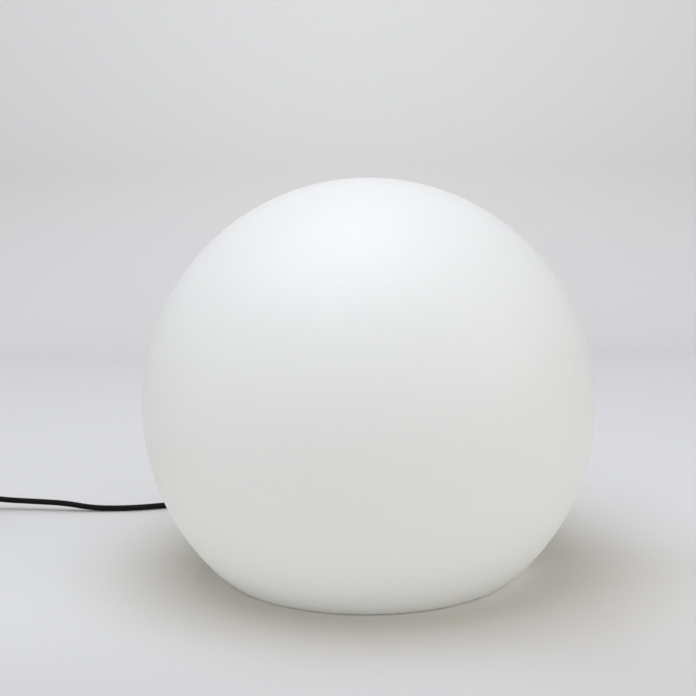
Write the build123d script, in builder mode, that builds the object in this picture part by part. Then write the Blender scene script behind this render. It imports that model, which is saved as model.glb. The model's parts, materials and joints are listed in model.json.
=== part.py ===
from build123d import *
import math
import os

import numpy

# Garden globe light: a flat-bottomed plastic globe that stands over a round lamp base.
#
# The base carries the lampholder, the wiring and the cable gland, and four screws pull the globe down on it.
# With the screws undone the globe lifts straight off, and the bulb then unscrews from its holder.
# Millimetres, +Z up. The origin is on the floor under the middle of the globe. The cable leaves at +Y.

# ---- Globe -------------------------------------------------------------------------------------
globe_radius = 250.0
globe_centre_height = 187.0  # the sphere's centre above the floor, so the globe is 437 high
globe_wall = 4.0
foot_edge_rounding = 10.0  # where the sphere turns into the flat bottom
seat_mouth_rounding = 6.0
seat_roof_rounding = 4.0
insert_flats = 8.0  # across the flats of the moulded-in brass nuts
insert_length = 10.0
boss_wall = 3.2  # plastic round a moulded-in nut
boss_cover = 3.0  # plastic above it
channel_clearance = 2.0  # over the cable, where it leaves under the globe
channel_side_clearance = 3.5
channel_mouth_rounding = 2.0

# ---- Lamp base: a pan with a flange ------------------------------------------------------------
pan_radius = 70.0
pan_wall = 3.0
pan_standoff = 4.0  # the pan's underside above the floor
flange_height = 27.0  # the flange's upper face above the floor
flange_thickness = 3.0
flange_margin = 9.5  # from the screw circle out to the flange's edge
pad_gap = 4.5  # from the gasket out to the pads round the screws
skirt_wall = 2.5
skirt_depth = 9.0
spigot_height = 8.0  # the pan's wall above the flange, which centres the globe
spigot_clearance = 2.0
seat_clearance = 1.5  # between the flange's edge and the globe's recess
rib_thickness = 2.5
rib_count = 8
pad_radius = 6.0  # raised pads round the screw holes
pad_clearance = 0.3
edge_rounding = 1.0
gasket_thickness = 3.0
gasket_width = 9.0
gasket_inset = 1.5  # from the globe's hatch to the gasket

# ---- Screws ------------------------------------------------------------------------------------
screw_count = 4
screw_radius = 2.0  # M4
screw_length = 16.0
screw_head_radius = 4.0
screw_head_height = 2.6
screw_clearance = 0.2
thread_clearance = 0.05
washer_radius = 5.0
washer_thickness = 1.0
driver_slot = 1.0  # width of the cross recess in a screw head
small_screw_radius = 1.5  # M3
small_screw_length = 9.0
small_head_radius = 2.9
small_head_height = 2.0

# ---- Rubber feet under the pan -----------------------------------------------------------------
foot_radius = 9.0
foot_inset = 20.0  # from the pan's wall in to the feet's middles
foot_count = 4
foot_socket_depth = 1.2
fit_clearance = 0.1
foot_rounding = 1.0

# ---- Pillar that carries the lampholder --------------------------------------------------------
pillar_radius = 20.0
pillar_top_radius = 17.5
pillar_wall = 2.5
pillar_height = 80.0
pillar_flange_radius = 31.0
pillar_flange_thickness = 3.0
pillar_seat_height = 6.0
pillar_seat_wall = 2.5
pillar_screw_circle = 25.5
pillar_screw_count = 4
pillar_boss_radius = 4.5
gusset_count = 4
gusset_height = 22.0
arch_width = 16.0  # the wires' way into the pillar
arch_height = 18.0
wire_slot_length = 14.0
wire_slot_width = 6.0

# ---- Edison screw E27 --------------------------------------------------------------------------
thread_pitch = 3.629  # seven turns to the inch
thread_mean_radius = 12.58
thread_depth = 1.06
thread_slack = 0.15  # radial, between cap and sleeve
thread_length = 16.5
sheet_metal = 0.4

# ---- Lampholder --------------------------------------------------------------------------------
holder_radius = 19.5
holder_wall = 2.5
holder_floor = 3.0
rim_above_neck_base = 1.0
grip_count = 24
grip_radius = 0.9
core_height = 9.0
core_clearance = 0.2
contact_gap = 3.5  # from the core up to the bulb's tip
contact_width = 5.0
contact_thickness = 0.8
contact_reach = 11.0  # of a contact strip from the holder's axis
contact_screw_offset = 8.0
contact_eye_radius = 2.4
holder_screw_offset = 8.5
spring_clearance = 0.3
lead_offset = 4.6  # of a wire in the core from the holder's axis
seal_height = 3.5
seal_clearance = 0.25

# ---- Bulb, heights counted up from its tip -----------------------------------------------------
tip_radius = 4.8
tip_height = 1.2
insulator_height = 4.5
insulator_wall = 1.8
cap_bore_radius = 11.6
collar_radius = 13.3
collar_height = 5.0
neck_radius = 13.9
neck_length = 6.0
bulb_radius = 30.0
bulb_length = 112.0
bulb_waist = 68.0  # where the housing meets the diffuser
housing_wall = 1.8
diffuser_wall = 1.2
board_thickness = 1.6
board_setback = 1.0  # of the board's face below the waist
board_ledge = 2.0
board_clearance = 0.3
led_count = 14
led_circle_radius = 18.0
led_size = 3.0
led_thickness = 0.7
driver_width = 17.0
driver_length = 30.0
driver_thickness = 1.2
capacitor_radius = 4.0
capacitor_length = 14.0
inductor_size = 8.0

# ---- Terminal block ----------------------------------------------------------------------------
pole_pitch = 9.5
block_length = 18.0
block_height = 13.0
block_wall = 1.9
block_inset = 21.0  # from the pan's wall in to the block's middle
block_y = 5.0
block_pad_height = 4.0
clamp_drop = 1.0  # of the brass tubes below the block's middle
clamp_radius = 2.6
clamp_bore = 1.5
clamp_recess = 2.0  # from the block's face in to the brass tube
clamp_screw_radius = 1.25
clamp_screw_spacing = 8.0
head_recess_depth = 2.5

# ---- Cable, gland and wires --------------------------------------------------------------------
cord_diameter = 7.0
gland_headroom = 1.0  # from the gland's hexagons up to the flange
gland_thread_radius = 6.0  # M12
gland_flats = 15.0
gland_seat_width = 24.0
gland_seat_lift = 1.5  # how far the flat seats stand off the round wall, inside and out
gland_washer_thickness = 1.2
gland_hex_height = 4.5
gland_nose_radius = 6.2
gland_nose_length = 7.0
gland_cap_length = 13.0
gland_cap_dome = 4.0
gland_cap_space = 1.5  # in the cap, past the nose
gland_guard_length = 12.0  # the cap's tapered end, which keeps the cable from bending sharply
gland_guard_radius = 6.2
gland_guard_tip_radius = 5.2
gland_guard_grooves = 3
gland_gap = 0.4
gland_bore_clearance = 0.3
locknut_height = 5.0
thread_end = 1.0  # the thread that shows past the locknut
grommet_wall = 1.3
grommet_step = 1.0
sheath_reach = 10.5  # how far the sheath goes on into the base, past the gland
core_wire_radius = 1.1
core_spacing = 2.6
core_grip = 8.0  # how far a core is followed into the sheath
wire_end_gap = 1.0  # from the middle of a brass tube to a wire's end
core_bends = [10.0, 7.0]  # from the sheath's end to the bend in the live and in the neutral core
block_bends = [25.0, 31.0]  # from the block's middle to their next bends
lead_bends = [23.0, 29.0]  # from the block's middle to the first bend in each lead wire
lead_turns = [(24.0, -22.0, 23.0), (22.0, -29.0, 21.0)]  # where the lead wires turn to the pillar
lead_rise_height = 38.0  # where they go straight up inside the pillar

# ---- Plug --------------------------------------------------------------------------------------
plug_x = -598.0
plug_boot_y = 78.0  # the bend relief's tip, and the plug goes on from there along -Y
pin_radius = 2.4
pin_length = 19.0
pin_root_radius = 2.0  # in the plug, and for a short step outside it
pin_root_step = 0.5
pin_spacing = 19.0
pin_socket_depth = 6.0
plug_width = 36.0
plug_thickness = 27.0
plug_face_depth = 14.0
plug_corner = 9.0
plug_shoulder_length = 24.0
plug_waist_width = 23.0
plug_waist_thickness = 20.0
boot_length = 32.0
boot_radius = 6.5
boot_tip_radius = 4.8
boot_grooves = 6
groove_width = 2.0
groove_depth = 0.9

# ---- The cord's coil ---------------------------------------------------------------------------
coil_centre_x = -550.0
coil_centre_y = 175.0
coil_mean_radius = 44.2
coil_pitch = 7.6  # between turns, and between layers
coil_half_turns = [7, 7, 7, 6]  # in each layer, from the top one down
coil_reversal_step = 1.3  # how much further a spiral goes in or out where it turns back

# ---- Where things come, worked out from the sizes above ----------------------------------------
cord_radius = cord_diameter / 2
seat_depth = flange_height + gasket_thickness
hatch_radius = pan_radius + spigot_clearance
gasket_inner = hatch_radius + gasket_inset
gasket_outer = gasket_inner + gasket_width
screw_circle_radius = gasket_outer + pad_gap + pad_radius
foot_circle_radius = pan_radius - foot_inset
flange_radius = screw_circle_radius + flange_margin
seat_radius = flange_radius + seat_clearance
flange_under = flange_height - flange_thickness
gland_axis_height = flange_under - gland_headroom - gland_flats / 2
pan_inner = pan_radius - pan_wall
block_x = pan_inner - block_inset
pan_floor = pan_standoff + pan_wall  # upper face of the pan's floor
pillar_base = pan_floor + pillar_seat_height
pillar_deck = pillar_base + pillar_flange_thickness  # upper face of the pillar's flange
pillar_top = pillar_base + pillar_height
core_base = pillar_top + holder_floor
core_top = core_base + core_height
bulb_tip = core_top + contact_gap
thread_offset = thread_depth / 2
cap_base = bulb_tip + insulator_height
collar_base = cap_base + thread_length
neck_base = collar_base + collar_height
holder_rim = neck_base + rim_above_neck_base
waist = bulb_tip + bulb_waist
board_base = waist - board_setback - board_thickness
gland_seat_inner = pan_inner - gland_seat_lift
gland_seat_outer = pan_radius + gland_seat_lift
gland_body_y = gland_seat_outer + gland_washer_thickness
gland_nose_y = gland_body_y + gland_hex_height
gland_cap_y = gland_nose_y + gland_gap
cord_exit_y = gland_cap_y + gland_cap_length + gland_guard_length
gland_shank_end = gland_seat_inner - locknut_height - thread_end
sheath_end_y = gland_shank_end - sheath_reach
gland_bore = cord_radius + gland_bore_clearance
grommet_radius = cord_radius + thread_clearance + grommet_wall
channel_width = cord_diameter + 2 * channel_side_clearance
channel_height = gland_axis_height + cord_radius + channel_clearance
block_base = pan_floor + block_pad_height
block_top = block_base + block_height
clamp_height = block_base + block_height / 2 - clamp_drop
clamp_depth = block_top - clamp_height
live_x = block_x - pole_pitch / 2
neutral_x = block_x + pole_pitch / 2
screw_start_angle = 180 / screw_count
pillar_start_angle = 180 / pillar_screw_count
UP = (Align.CENTER, Align.CENTER, Align.MIN)
DOWN = (Align.CENTER, Align.CENTER, Align.MAX)
BELOW = (Align.CENTER, Align.MAX)  # in a sketch
LEFT = (Align.MAX, Align.CENTER)
os.makedirs("parts", exist_ok=True)


def save(part, name):
    """Labels a finished piece and writes its file."""
    part.label = name
    export_step(part, f"parts/{name}.step")


def facing_y(y, height, x=0.0):
    """A plane that looks along +Y, for pieces that lie along the cable."""
    return Plane(origin=(x, y, height), x_dir=(-1, 0, 0), z_dir=(0, 1, 0))


def ring(outer, inner, height, plane):
    """A flat ring of that height on a plane."""
    with BuildPart() as made:
        with BuildSketch(plane):
            Circle(outer)
            Circle(inner, mode=Mode.SUBTRACT)
        extrude(amount=height)
    return made.part


def turned(points):
    """A solid of revolution about Z through points given as (radius, height)."""
    with BuildPart() as made:
        with BuildSketch(Plane.XZ):
            with BuildLine():
                Polyline(*points, close=True)
            make_face()
        revolve(axis=Axis.Z)
    return made.part


def cross_head_screw(radius, length, head_radius, head_height):
    """A pan-head screw: its shank goes down from the origin and its head stands up from it."""
    with BuildPart() as screw:
        Cylinder(head_radius, head_height, align=UP)
        fillet(screw.faces().sort_by(Axis.Z)[-1].edges(), head_height * 0.45)
        Cylinder(radius, length, align=DOWN)
        chamfer(screw.faces().sort_by(Axis.Z)[0].edges(), radius * 0.3)
        with BuildSketch(Plane.XY.offset(head_height)):
            Rectangle(head_radius * 1.15, driver_slot)
            Rectangle(driver_slot, head_radius * 1.15)
        extrude(amount=-head_height * 0.6, mode=Mode.SUBTRACT)
    return screw.part


def edison_core(radius, bottom, length):
    """A solid Edison screw: a circle held off the axis by half the thread's depth and carried up a helix.

    Every one of them turns in step with the bulb's tip, so the cap fits its sleeve.
    """
    turn = 360 * (bottom - bulb_tip) / thread_pitch
    with BuildPart() as core:
        with BuildLine() as climb:
            Helix(pitch=thread_pitch, height=length, radius=thread_offset)
        with BuildSketch(Plane.XY):
            with Locations((thread_offset, 0)):
                Circle(radius)
        sweep(path=climb.line, is_frenet=False, normal=(0, 0, 1))
    return core.part.moved(Location((0, 0, bottom), (0, 0, turn)))


def rounded_radii(points):
    """The largest arc that each corner's two runs allow."""
    corners = [Vector(*point) for point in points]
    radii = []
    for before, here, after in zip(corners, corners[1:], corners[2:]):
        turn = (here - before).get_angle(after - here)
        run = min((here - before).length, (after - here).length)
        radii.append(0.45 * run / math.tan(math.radians(turn / 2)))
    return radii


def swept_round(route, radius, name):
    """A round solid along a finished route. Prints the route's length and how the solid's volume fits it."""
    with BuildPart() as made:
        with BuildSketch(Plane(origin=route @ 0, z_dir=route % 0)):
            Circle(radius)
        sweep(path=route)
    fit = made.part.volume / (math.pi * radius**2 * route.length)
    print(name, "length", round(route.length, 1), "volume over section times length", round(fit, 5))
    return made.part


def tube(points, radius, name):
    """A round wire or cable along straight runs joined by tangent arcs."""
    radii = rounded_radii(points)
    print(name, "arc radii", [round(value, 1) for value in radii])
    with BuildLine() as route:
        FilletPolyline(*points, radius=radii)
    return swept_round(route.wire(), radius, name)


def bend_guard(plane_at, length, first_radius, last_radius, grooves):
    """A grooved cone round a cable, against sharp bends. plane_at gives the plane at a distance."""
    with BuildPart() as guard:
        with BuildSketch(plane_at(0)):
            Circle(first_radius)
        with BuildSketch(plane_at(length)):
            Circle(last_radius)
        loft()
        for number in range(grooves):
            distance = (length - groove_width) / grooves * (number + 0.5)
            surface = first_radius + (last_radius - first_radius) * distance / length
            with BuildSketch(plane_at(distance)):
                Circle(2 * (first_radius + last_radius))
                Circle(surface - groove_depth, mode=Mode.SUBTRACT)
            extrude(amount=groove_width, mode=Mode.SUBTRACT)
    return guard.part


# ==== Globe =====================================================================================
def globe_form(inset):
    """The globe as a solid, moved in from its outer surface by inset."""
    roof_height = seat_depth + inset
    near = 0.01  # how close a corner's height has to be
    with BuildPart() as form:
        with BuildSketch(Plane.XZ) as outline:
            with Locations((0, globe_centre_height)):
                Circle(globe_radius - inset)
            Rectangle(2 * globe_radius, 4 * globe_radius, align=LEFT, mode=Mode.SUBTRACT)
            with Locations((0, inset)):
                Rectangle(4 * globe_radius, 4 * globe_radius, align=BELOW, mode=Mode.SUBTRACT)
            Rectangle(2 * (seat_radius + inset), 2 * roof_height, mode=Mode.SUBTRACT)
            foot_corners = outline.vertices().filter_by_position(Axis.Y, inset - near, inset + near)
            fillet(foot_corners.sort_by(Axis.X)[-1], foot_edge_rounding - inset)
            mouth_corners = outline.vertices().filter_by_position(Axis.Y, inset - near, inset + near)
            fillet(mouth_corners.sort_by(Axis.X)[0], seat_mouth_rounding - inset)
            low, high = roof_height - near, roof_height + near
            roof_corners = outline.vertices().filter_by_position(Axis.Y, low, high)
            fillet(roof_corners.sort_by(Axis.X)[-1], seat_roof_rounding + inset)
        revolve(axis=Axis.Z)
        with BuildSketch(Plane.XZ):
            with Locations((0, channel_height - channel_width / 2)):
                Circle(channel_width / 2 + inset)
                Rectangle(channel_width + 2 * inset, channel_height, align=BELOW)
        extrude(amount=-globe_radius, mode=Mode.SUBTRACT)
    return form.part


globe_outside = globe_form(0.0)
globe_inside = globe_form(globe_wall)

with BuildPart() as insert_pockets:
    with BuildSketch(Plane.XY.offset(seat_depth)):
        with PolarLocations(screw_circle_radius, screw_count, start_angle=screw_start_angle):
            RegularPolygon(insert_flats / 2, 6, major_radius=False)
    extrude(amount=insert_length)

with BuildPart() as globe_shell:
    add(globe_outside)
    channel_edges = globe_shell.edges().filter_by(lambda edge: abs(edge.center().X) < channel_width)
    far_edges = channel_edges.filter_by(lambda edge: edge.center().Y > seat_radius + channel_height)
    mouth_edges = far_edges.filter_by(
        lambda edge: edge.center().Z > edge_rounding and edge.bounding_box().size.Y < channel_height
    )
    fillet(mouth_edges, channel_mouth_rounding)
    add(globe_inside, mode=Mode.SUBTRACT)
    with BuildSketch(Plane.XY.offset(seat_depth + globe_wall / 2)):
        with PolarLocations(screw_circle_radius, screw_count, start_angle=screw_start_angle):
            Circle(insert_flats / math.sqrt(3) + boss_wall)
    extrude(amount=insert_length + boss_cover - globe_wall / 2)
    with Locations((0, 0, seat_depth)):
        Cylinder(hatch_radius, 4 * globe_wall, mode=Mode.SUBTRACT)
    add(insert_pockets.part, mode=Mode.SUBTRACT)
save(globe_shell.part, "globe_shell")

with BuildPart() as thread_inserts:
    add(insert_pockets.part)
    with BuildSketch(Plane.XY.offset(seat_depth)):
        with PolarLocations(screw_circle_radius, screw_count, start_angle=screw_start_angle):
            Circle(screw_radius + thread_clearance)
    extrude(amount=insert_length, mode=Mode.SUBTRACT)
save(thread_inserts.part, "thread_inserts")

# ==== Lamp base =================================================================================
pan_profile = [
    (0, pan_standoff),
    (pan_radius, pan_standoff),
    (pan_radius, flange_under),
    (flange_radius - skirt_wall, flange_under),
    (flange_radius - skirt_wall, flange_under - skirt_depth),
    (flange_radius, flange_under - skirt_depth),
    (flange_radius, flange_height),
    (pan_radius, flange_height),
    (pan_radius, flange_height + spigot_height),
    (pan_inner, flange_height + spigot_height),
    (pan_inner, pan_floor),
    (0, pan_floor),
]
pan = turned(pan_profile)
pillar_seat_inner = pillar_flange_radius - pillar_seat_wall
pillar_seat = ring(pillar_flange_radius, pillar_seat_inner, pillar_seat_height, Plane.XY.offset(pan_floor))

with BuildPart() as base_cover:
    add(pan)
    fillet(base_cover.edges().group_by(Axis.Z)[0], 2 * edge_rounding)
    fillet(base_cover.edges().group_by(Axis.Z)[-1], edge_rounding)
    add(pillar_seat)
    with Locations((0, 0, flange_under)):
        with PolarLocations((pan_radius + flange_radius) / 2, rib_count, start_angle=180 / rib_count):
            Box(flange_radius - pan_radius - skirt_wall, rib_thickness, skirt_depth, align=DOWN)
    with Locations((0, 0, flange_height)):
        with PolarLocations(screw_circle_radius, screw_count, start_angle=screw_start_angle):
            Cylinder(pad_radius, gasket_thickness - pad_clearance, align=UP)
    with Locations((0, 0, pan_floor)):
        with PolarLocations(pillar_screw_circle, pillar_screw_count, start_angle=pillar_start_angle):
            Cylinder(pillar_boss_radius, pillar_seat_height, align=UP)
    with Locations((block_x, block_y, pan_floor)):
        Box(2 * (pole_pitch + block_wall), block_length, block_pad_height, align=UP)
    with Locations((0, (gland_seat_inner + gland_seat_outer) / 2, pan_floor)):
        Box(gland_seat_width, gland_seat_outer - gland_seat_inner, flange_under - pan_floor, align=UP)
    with Locations((0, 0, flange_height)):
        with PolarLocations(screw_circle_radius, screw_count, start_angle=screw_start_angle):
            Cylinder(screw_radius + screw_clearance, 4 * flange_thickness, mode=Mode.SUBTRACT)
    with Locations((0, 0, pillar_deck - small_screw_length - thread_end / 2)):
        with PolarLocations(pillar_screw_circle, pillar_screw_count, start_angle=pillar_start_angle):
            Cylinder(small_screw_radius + thread_clearance, small_screw_length, align=UP, mode=Mode.SUBTRACT)
    with Locations((block_x, block_y, block_base)):
        Cylinder(small_screw_radius + thread_clearance, block_pad_height, align=DOWN, mode=Mode.SUBTRACT)
    with Locations((0, 0, pan_standoff)):
        with PolarLocations(foot_circle_radius, foot_count):
            Cylinder(foot_radius + fit_clearance, foot_socket_depth, align=UP, mode=Mode.SUBTRACT)
    with BuildSketch(facing_y(gland_seat_inner - 1, gland_axis_height)):
        Circle(gland_thread_radius + fit_clearance)
    extrude(amount=gland_seat_outer - gland_seat_inner + 2, mode=Mode.SUBTRACT)
    with BuildSketch(facing_y(gland_seat_outer + 1, 0)):
        with Locations((0, channel_height - channel_width / 2)):
            Circle(channel_width / 2)
            Rectangle(channel_width, channel_height, align=BELOW)
    extrude(amount=flange_radius, mode=Mode.SUBTRACT)
save(base_cover.part, "base_cover")

gasket = ring(gasket_outer, gasket_inner, gasket_thickness, Plane.XY.offset(flange_height))
save(gasket, "base_gasket")

cover_screw = cross_head_screw(screw_radius, screw_length, screw_head_radius, screw_head_height)
cover_screw = cover_screw.rotate(Axis.X, 180)
with BuildPart() as cover_screws:
    with Locations((0, 0, flange_under - washer_thickness)):
        with PolarLocations(screw_circle_radius, screw_count, start_angle=screw_start_angle):
            add(cover_screw)
save(cover_screws.part, "cover_screws")

with BuildPart() as screw_washers:
    with BuildSketch(Plane.XY.offset(flange_under)):
        with PolarLocations(screw_circle_radius, screw_count, start_angle=screw_start_angle):
            Circle(washer_radius)
            Circle(screw_radius + screw_clearance, mode=Mode.SUBTRACT)
    extrude(amount=-washer_thickness)
save(screw_washers.part, "screw_washers")

with BuildPart() as rubber_feet:
    with PolarLocations(foot_circle_radius, foot_count):
        Cylinder(foot_radius, pan_standoff + foot_socket_depth, align=UP)
    fillet(rubber_feet.edges().group_by(Axis.Z)[0], foot_rounding)
save(rubber_feet.part, "rubber_feet")

# ==== Pillar ====================================================================================
pillar_profile = [
    (pillar_radius - pillar_wall, pillar_base),
    (pillar_flange_radius, pillar_base),
    (pillar_flange_radius, pillar_deck),
    (pillar_radius, pillar_deck),
    (pillar_top_radius, pillar_top),
    (0, pillar_top),
    (0, pillar_top - pillar_flange_thickness),
    (pillar_top_radius - pillar_wall, pillar_top - pillar_flange_thickness),
]
pillar_tube = turned(pillar_profile)
arch_plane = Plane(origin=(0, 0, pillar_deck), x_dir=(1, 1, 0), z_dir=(1, -1, 0))

with BuildPart() as lamp_pillar:
    add(pillar_tube)
    for number in range(gusset_count):
        outward = Vector(1, 0, 0).rotate(Axis.Z, 360 / gusset_count * number)
        gusset_plane = Plane(origin=(0, 0, 0), x_dir=outward, z_dir=outward.rotate(Axis.Z, -90))
        with BuildSketch(gusset_plane):
            with BuildLine():
                Polyline(
                    (pillar_radius - pillar_wall / 2, pillar_deck - edge_rounding),
                    (pillar_flange_radius - edge_rounding, pillar_deck - edge_rounding),
                    (pillar_flange_radius - edge_rounding, pillar_deck + edge_rounding),
                    (pillar_radius - pillar_wall / 2, pillar_deck + gusset_height),
                    close=True,
                )
            make_face()
        extrude(amount=rib_thickness / 2, both=True)
    with BuildSketch(arch_plane):
        with Locations((0, arch_height - arch_width / 2)):
            Circle(arch_width / 2)
            Rectangle(arch_width, arch_height - arch_width / 2, align=BELOW)
    extrude(amount=pillar_flange_radius, mode=Mode.SUBTRACT)
    with Locations((0, 0, pillar_deck)):
        with PolarLocations(pillar_screw_circle, pillar_screw_count, start_angle=pillar_start_angle):
            Cylinder(small_screw_radius + screw_clearance, 4 * pillar_flange_thickness, mode=Mode.SUBTRACT)
    with BuildSketch(Plane.XY.offset(pillar_top)):
        SlotOverall(wire_slot_length, wire_slot_width)
        with PolarLocations(holder_screw_offset, 2, start_angle=90):
            Circle(small_screw_radius + thread_clearance)
    extrude(amount=-2 * pillar_flange_thickness, mode=Mode.SUBTRACT)
save(lamp_pillar.part, "lamp_pillar")

small_screw = cross_head_screw(small_screw_radius, small_screw_length, small_head_radius, small_head_height)
with BuildPart() as pillar_screws:
    with Locations((0, 0, pillar_deck)):
        with PolarLocations(pillar_screw_circle, pillar_screw_count, start_angle=pillar_start_angle):
            add(small_screw)
save(pillar_screws.part, "pillar_screws")

# ==== Lampholder ================================================================================
with BuildPart() as holder_body:
    with Locations((0, 0, pillar_top)):
        Cylinder(holder_radius, holder_rim - pillar_top, align=UP)
    with Locations((0, 0, core_base)):
        Cylinder(holder_radius - holder_wall, holder_rim - core_base, align=UP, mode=Mode.SUBTRACT)
    with BuildSketch(Plane.XY.offset(core_base)):
        with PolarLocations(holder_radius, grip_count):
            Circle(grip_radius)
    extrude(amount=core_height + contact_gap + thread_length, mode=Mode.SUBTRACT)
    with BuildSketch(Plane.XY.offset(core_base)):
        SlotOverall(wire_slot_length, wire_slot_width)
        with PolarLocations(holder_screw_offset, 2, start_angle=90):
            Circle(small_screw_radius + screw_clearance)
    extrude(amount=-2 * holder_floor, mode=Mode.SUBTRACT)
save(holder_body.part, "holder_body")

with BuildPart() as holder_core:
    with Locations((0, 0, core_base)):
        Cylinder(holder_radius - holder_wall - core_clearance, core_height, align=UP)
    chamfer(holder_core.edges().group_by(Axis.Z)[-1], edge_rounding)
    with BuildSketch(Plane.XY.offset(core_top)):
        with PolarLocations(holder_screw_offset, 2, start_angle=90):
            Circle(small_screw_radius + screw_clearance)
        with PolarLocations(lead_offset, 2):
            Circle(core_wire_radius + fit_clearance)
    extrude(amount=-2 * core_height, mode=Mode.SUBTRACT)
    with BuildSketch(Plane.XY.offset(core_top)):
        with PolarLocations(contact_screw_offset, 2):
            Circle(small_screw_radius + thread_clearance)
    extrude(amount=-(small_screw_length - contact_thickness + fit_clearance), mode=Mode.SUBTRACT)
save(holder_core.part, "holder_core")

sleeve_height = collar_base - core_top - thread_end / 2
sleeve_outside = edison_core(thread_mean_radius + thread_slack + sheet_metal, core_top, sleeve_height)
sleeve_inside = edison_core(thread_mean_radius + thread_slack, core_top, sleeve_height)
with BuildPart() as thread_sleeve:
    add(sleeve_outside)
    add(sleeve_inside, mode=Mode.SUBTRACT)
save(thread_sleeve.part, "thread_sleeve")

strip_top = core_top + contact_thickness
spring_top = bulb_tip - spring_clearance
spring_half = (contact_width - contact_thickness) / 2
with BuildPart() as centre_contact:
    with BuildSketch(Plane.XZ):
        with BuildLine():
            Polyline(
                (contact_reach, core_top),
                (contact_reach, strip_top),
                (spring_half + contact_thickness, strip_top),
                (spring_half, spring_top),
                (-spring_half, spring_top),
                (-spring_half, spring_top - contact_thickness),
                (spring_half - contact_thickness, spring_top - contact_thickness),
                (spring_half, core_top),
                close=True,
            )
        make_face()
    extrude(amount=contact_width / 2, both=True)
    with Locations((contact_screw_offset, 0, core_top)):
        Cylinder(small_screw_radius + screw_clearance, 4 * contact_thickness, mode=Mode.SUBTRACT)
save(centre_contact.part, "centre_contact")

sleeve_strip_end = thread_mean_radius + thread_slack - thread_offset - fit_clearance
with BuildPart() as sleeve_contact:
    with BuildSketch(Plane.XZ):
        with BuildLine():
            Polyline(
                (-lead_offset + core_wire_radius, core_top),
                (-lead_offset + core_wire_radius, strip_top),
                (contact_thickness - sleeve_strip_end, strip_top),
                (contact_thickness - sleeve_strip_end, spring_top),
                (-sleeve_strip_end, spring_top),
                (-sleeve_strip_end, core_top),
                close=True,
            )
        make_face()
    extrude(amount=contact_width / 4, both=True)
    with Locations((-contact_screw_offset, 0, core_top)):
        Cylinder(contact_eye_radius, contact_thickness, align=UP)
        Cylinder(small_screw_radius + fit_clearance, 4 * contact_thickness, mode=Mode.SUBTRACT)
save(sleeve_contact.part, "sleeve_contact")

with BuildPart() as holder_terminal_screws:
    with Locations((0, 0, strip_top)):
        with PolarLocations(contact_screw_offset, 2):
            add(small_screw)
save(holder_terminal_screws.part, "holder_terminal_screws")

holder_screw_length = core_height + holder_floor + pillar_flange_thickness - thread_end / 2
holder_screw = cross_head_screw(
    small_screw_radius, holder_screw_length, small_head_radius, small_head_height
)
with BuildPart() as holder_fixing_screws:
    with Locations((0, 0, core_top)):
        with PolarLocations(holder_screw_offset, 2, start_angle=90):
            add(holder_screw)
save(holder_fixing_screws.part, "holder_fixing_screws")

seal_bore = neck_radius + seal_clearance
seal = ring(holder_radius - edge_rounding, seal_bore, seal_height, Plane.XY.offset(holder_rim))
with BuildPart() as bulb_seal_ring:
    add(seal)
    fillet(bulb_seal_ring.edges().group_by(Axis.Z)[-1], edge_rounding)
save(bulb_seal_ring.part, "bulb_seal_ring")

# ==== Bulb ======================================================================================
with BuildPart() as bulb_contact:
    with Locations((0, 0, bulb_tip)):
        Cylinder(tip_radius, tip_height, align=UP)
    fillet(bulb_contact.edges().group_by(Axis.Z)[0], tip_height / 2)
save(bulb_contact.part, "bulb_contact")

insulator_profile = [
    (0, bulb_tip + tip_height),
    (tip_radius + fit_clearance, bulb_tip + tip_height),
    (tip_radius + fit_clearance, bulb_tip + tip_height / 2),
    (tip_radius + insulator_wall, bulb_tip + tip_height / 2),
    (thread_mean_radius - thread_offset, cap_base),
    (cap_bore_radius - fit_clearance, cap_base),
    (cap_bore_radius - fit_clearance, cap_base + insulator_wall),
    (0, cap_base + insulator_wall),
]
save(turned(insulator_profile), "bulb_cap_insulator")

cap_thread = edison_core(thread_mean_radius, cap_base, thread_length)
with BuildPart() as bulb_cap:
    add(cap_thread)
    with Locations((0, 0, collar_base)):
        Cylinder(collar_radius, collar_height, align=UP)
    with Locations((0, 0, cap_base)):
        Cylinder(cap_bore_radius, thread_length + collar_height, align=UP, mode=Mode.SUBTRACT)
save(bulb_cap.part, "bulb_cap")

housing_bore = bulb_radius - housing_wall  # the inner radius at the waist
with BuildPart() as bulb_housing:
    with BuildSketch(Plane.XZ):
        with BuildLine():
            neck = Line((neck_radius, neck_base), (neck_radius, neck_base + neck_length))
            flare = Spline(neck @ 1, (bulb_radius, waist), tangents=((0.35, 1), (0.15, 1)))
            Line(flare @ 1, (housing_bore, waist))
            inner = Spline(
                (housing_bore, waist),
                (neck_radius - housing_wall, neck_base + neck_length),
                tangents=((-0.15, -1), (-0.35, -1)),
            )
            Polyline(inner @ 1, (neck_radius - housing_wall, neck_base), neck @ 0)
        make_face()
    revolve(axis=Axis.Z)
    with BuildSketch(Plane.XY.offset(board_base - board_ledge)):
        Circle(housing_bore)
        Circle(housing_bore - 2 * board_ledge, mode=Mode.SUBTRACT)
    extrude(amount=board_ledge)
save(bulb_housing.part, "bulb_housing")

dome_centre = bulb_tip + bulb_length - bulb_radius
with BuildPart() as bulb_diffuser:
    with BuildSketch(Plane.XZ):
        with BuildLine():
            side = Line((bulb_radius, waist), (bulb_radius, dome_centre))
            dome = CenterArc((0, dome_centre), bulb_radius, 0, 90)
            Line(dome @ 1, dome @ 1 - (0, diffuser_wall))
            lining = CenterArc((0, dome_centre), bulb_radius - diffuser_wall, 0, 90)
            Polyline(lining @ 0, (bulb_radius - diffuser_wall, waist), side @ 0)
        make_face()
    revolve(axis=Axis.Z)
save(bulb_diffuser.part, "bulb_diffuser")

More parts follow.
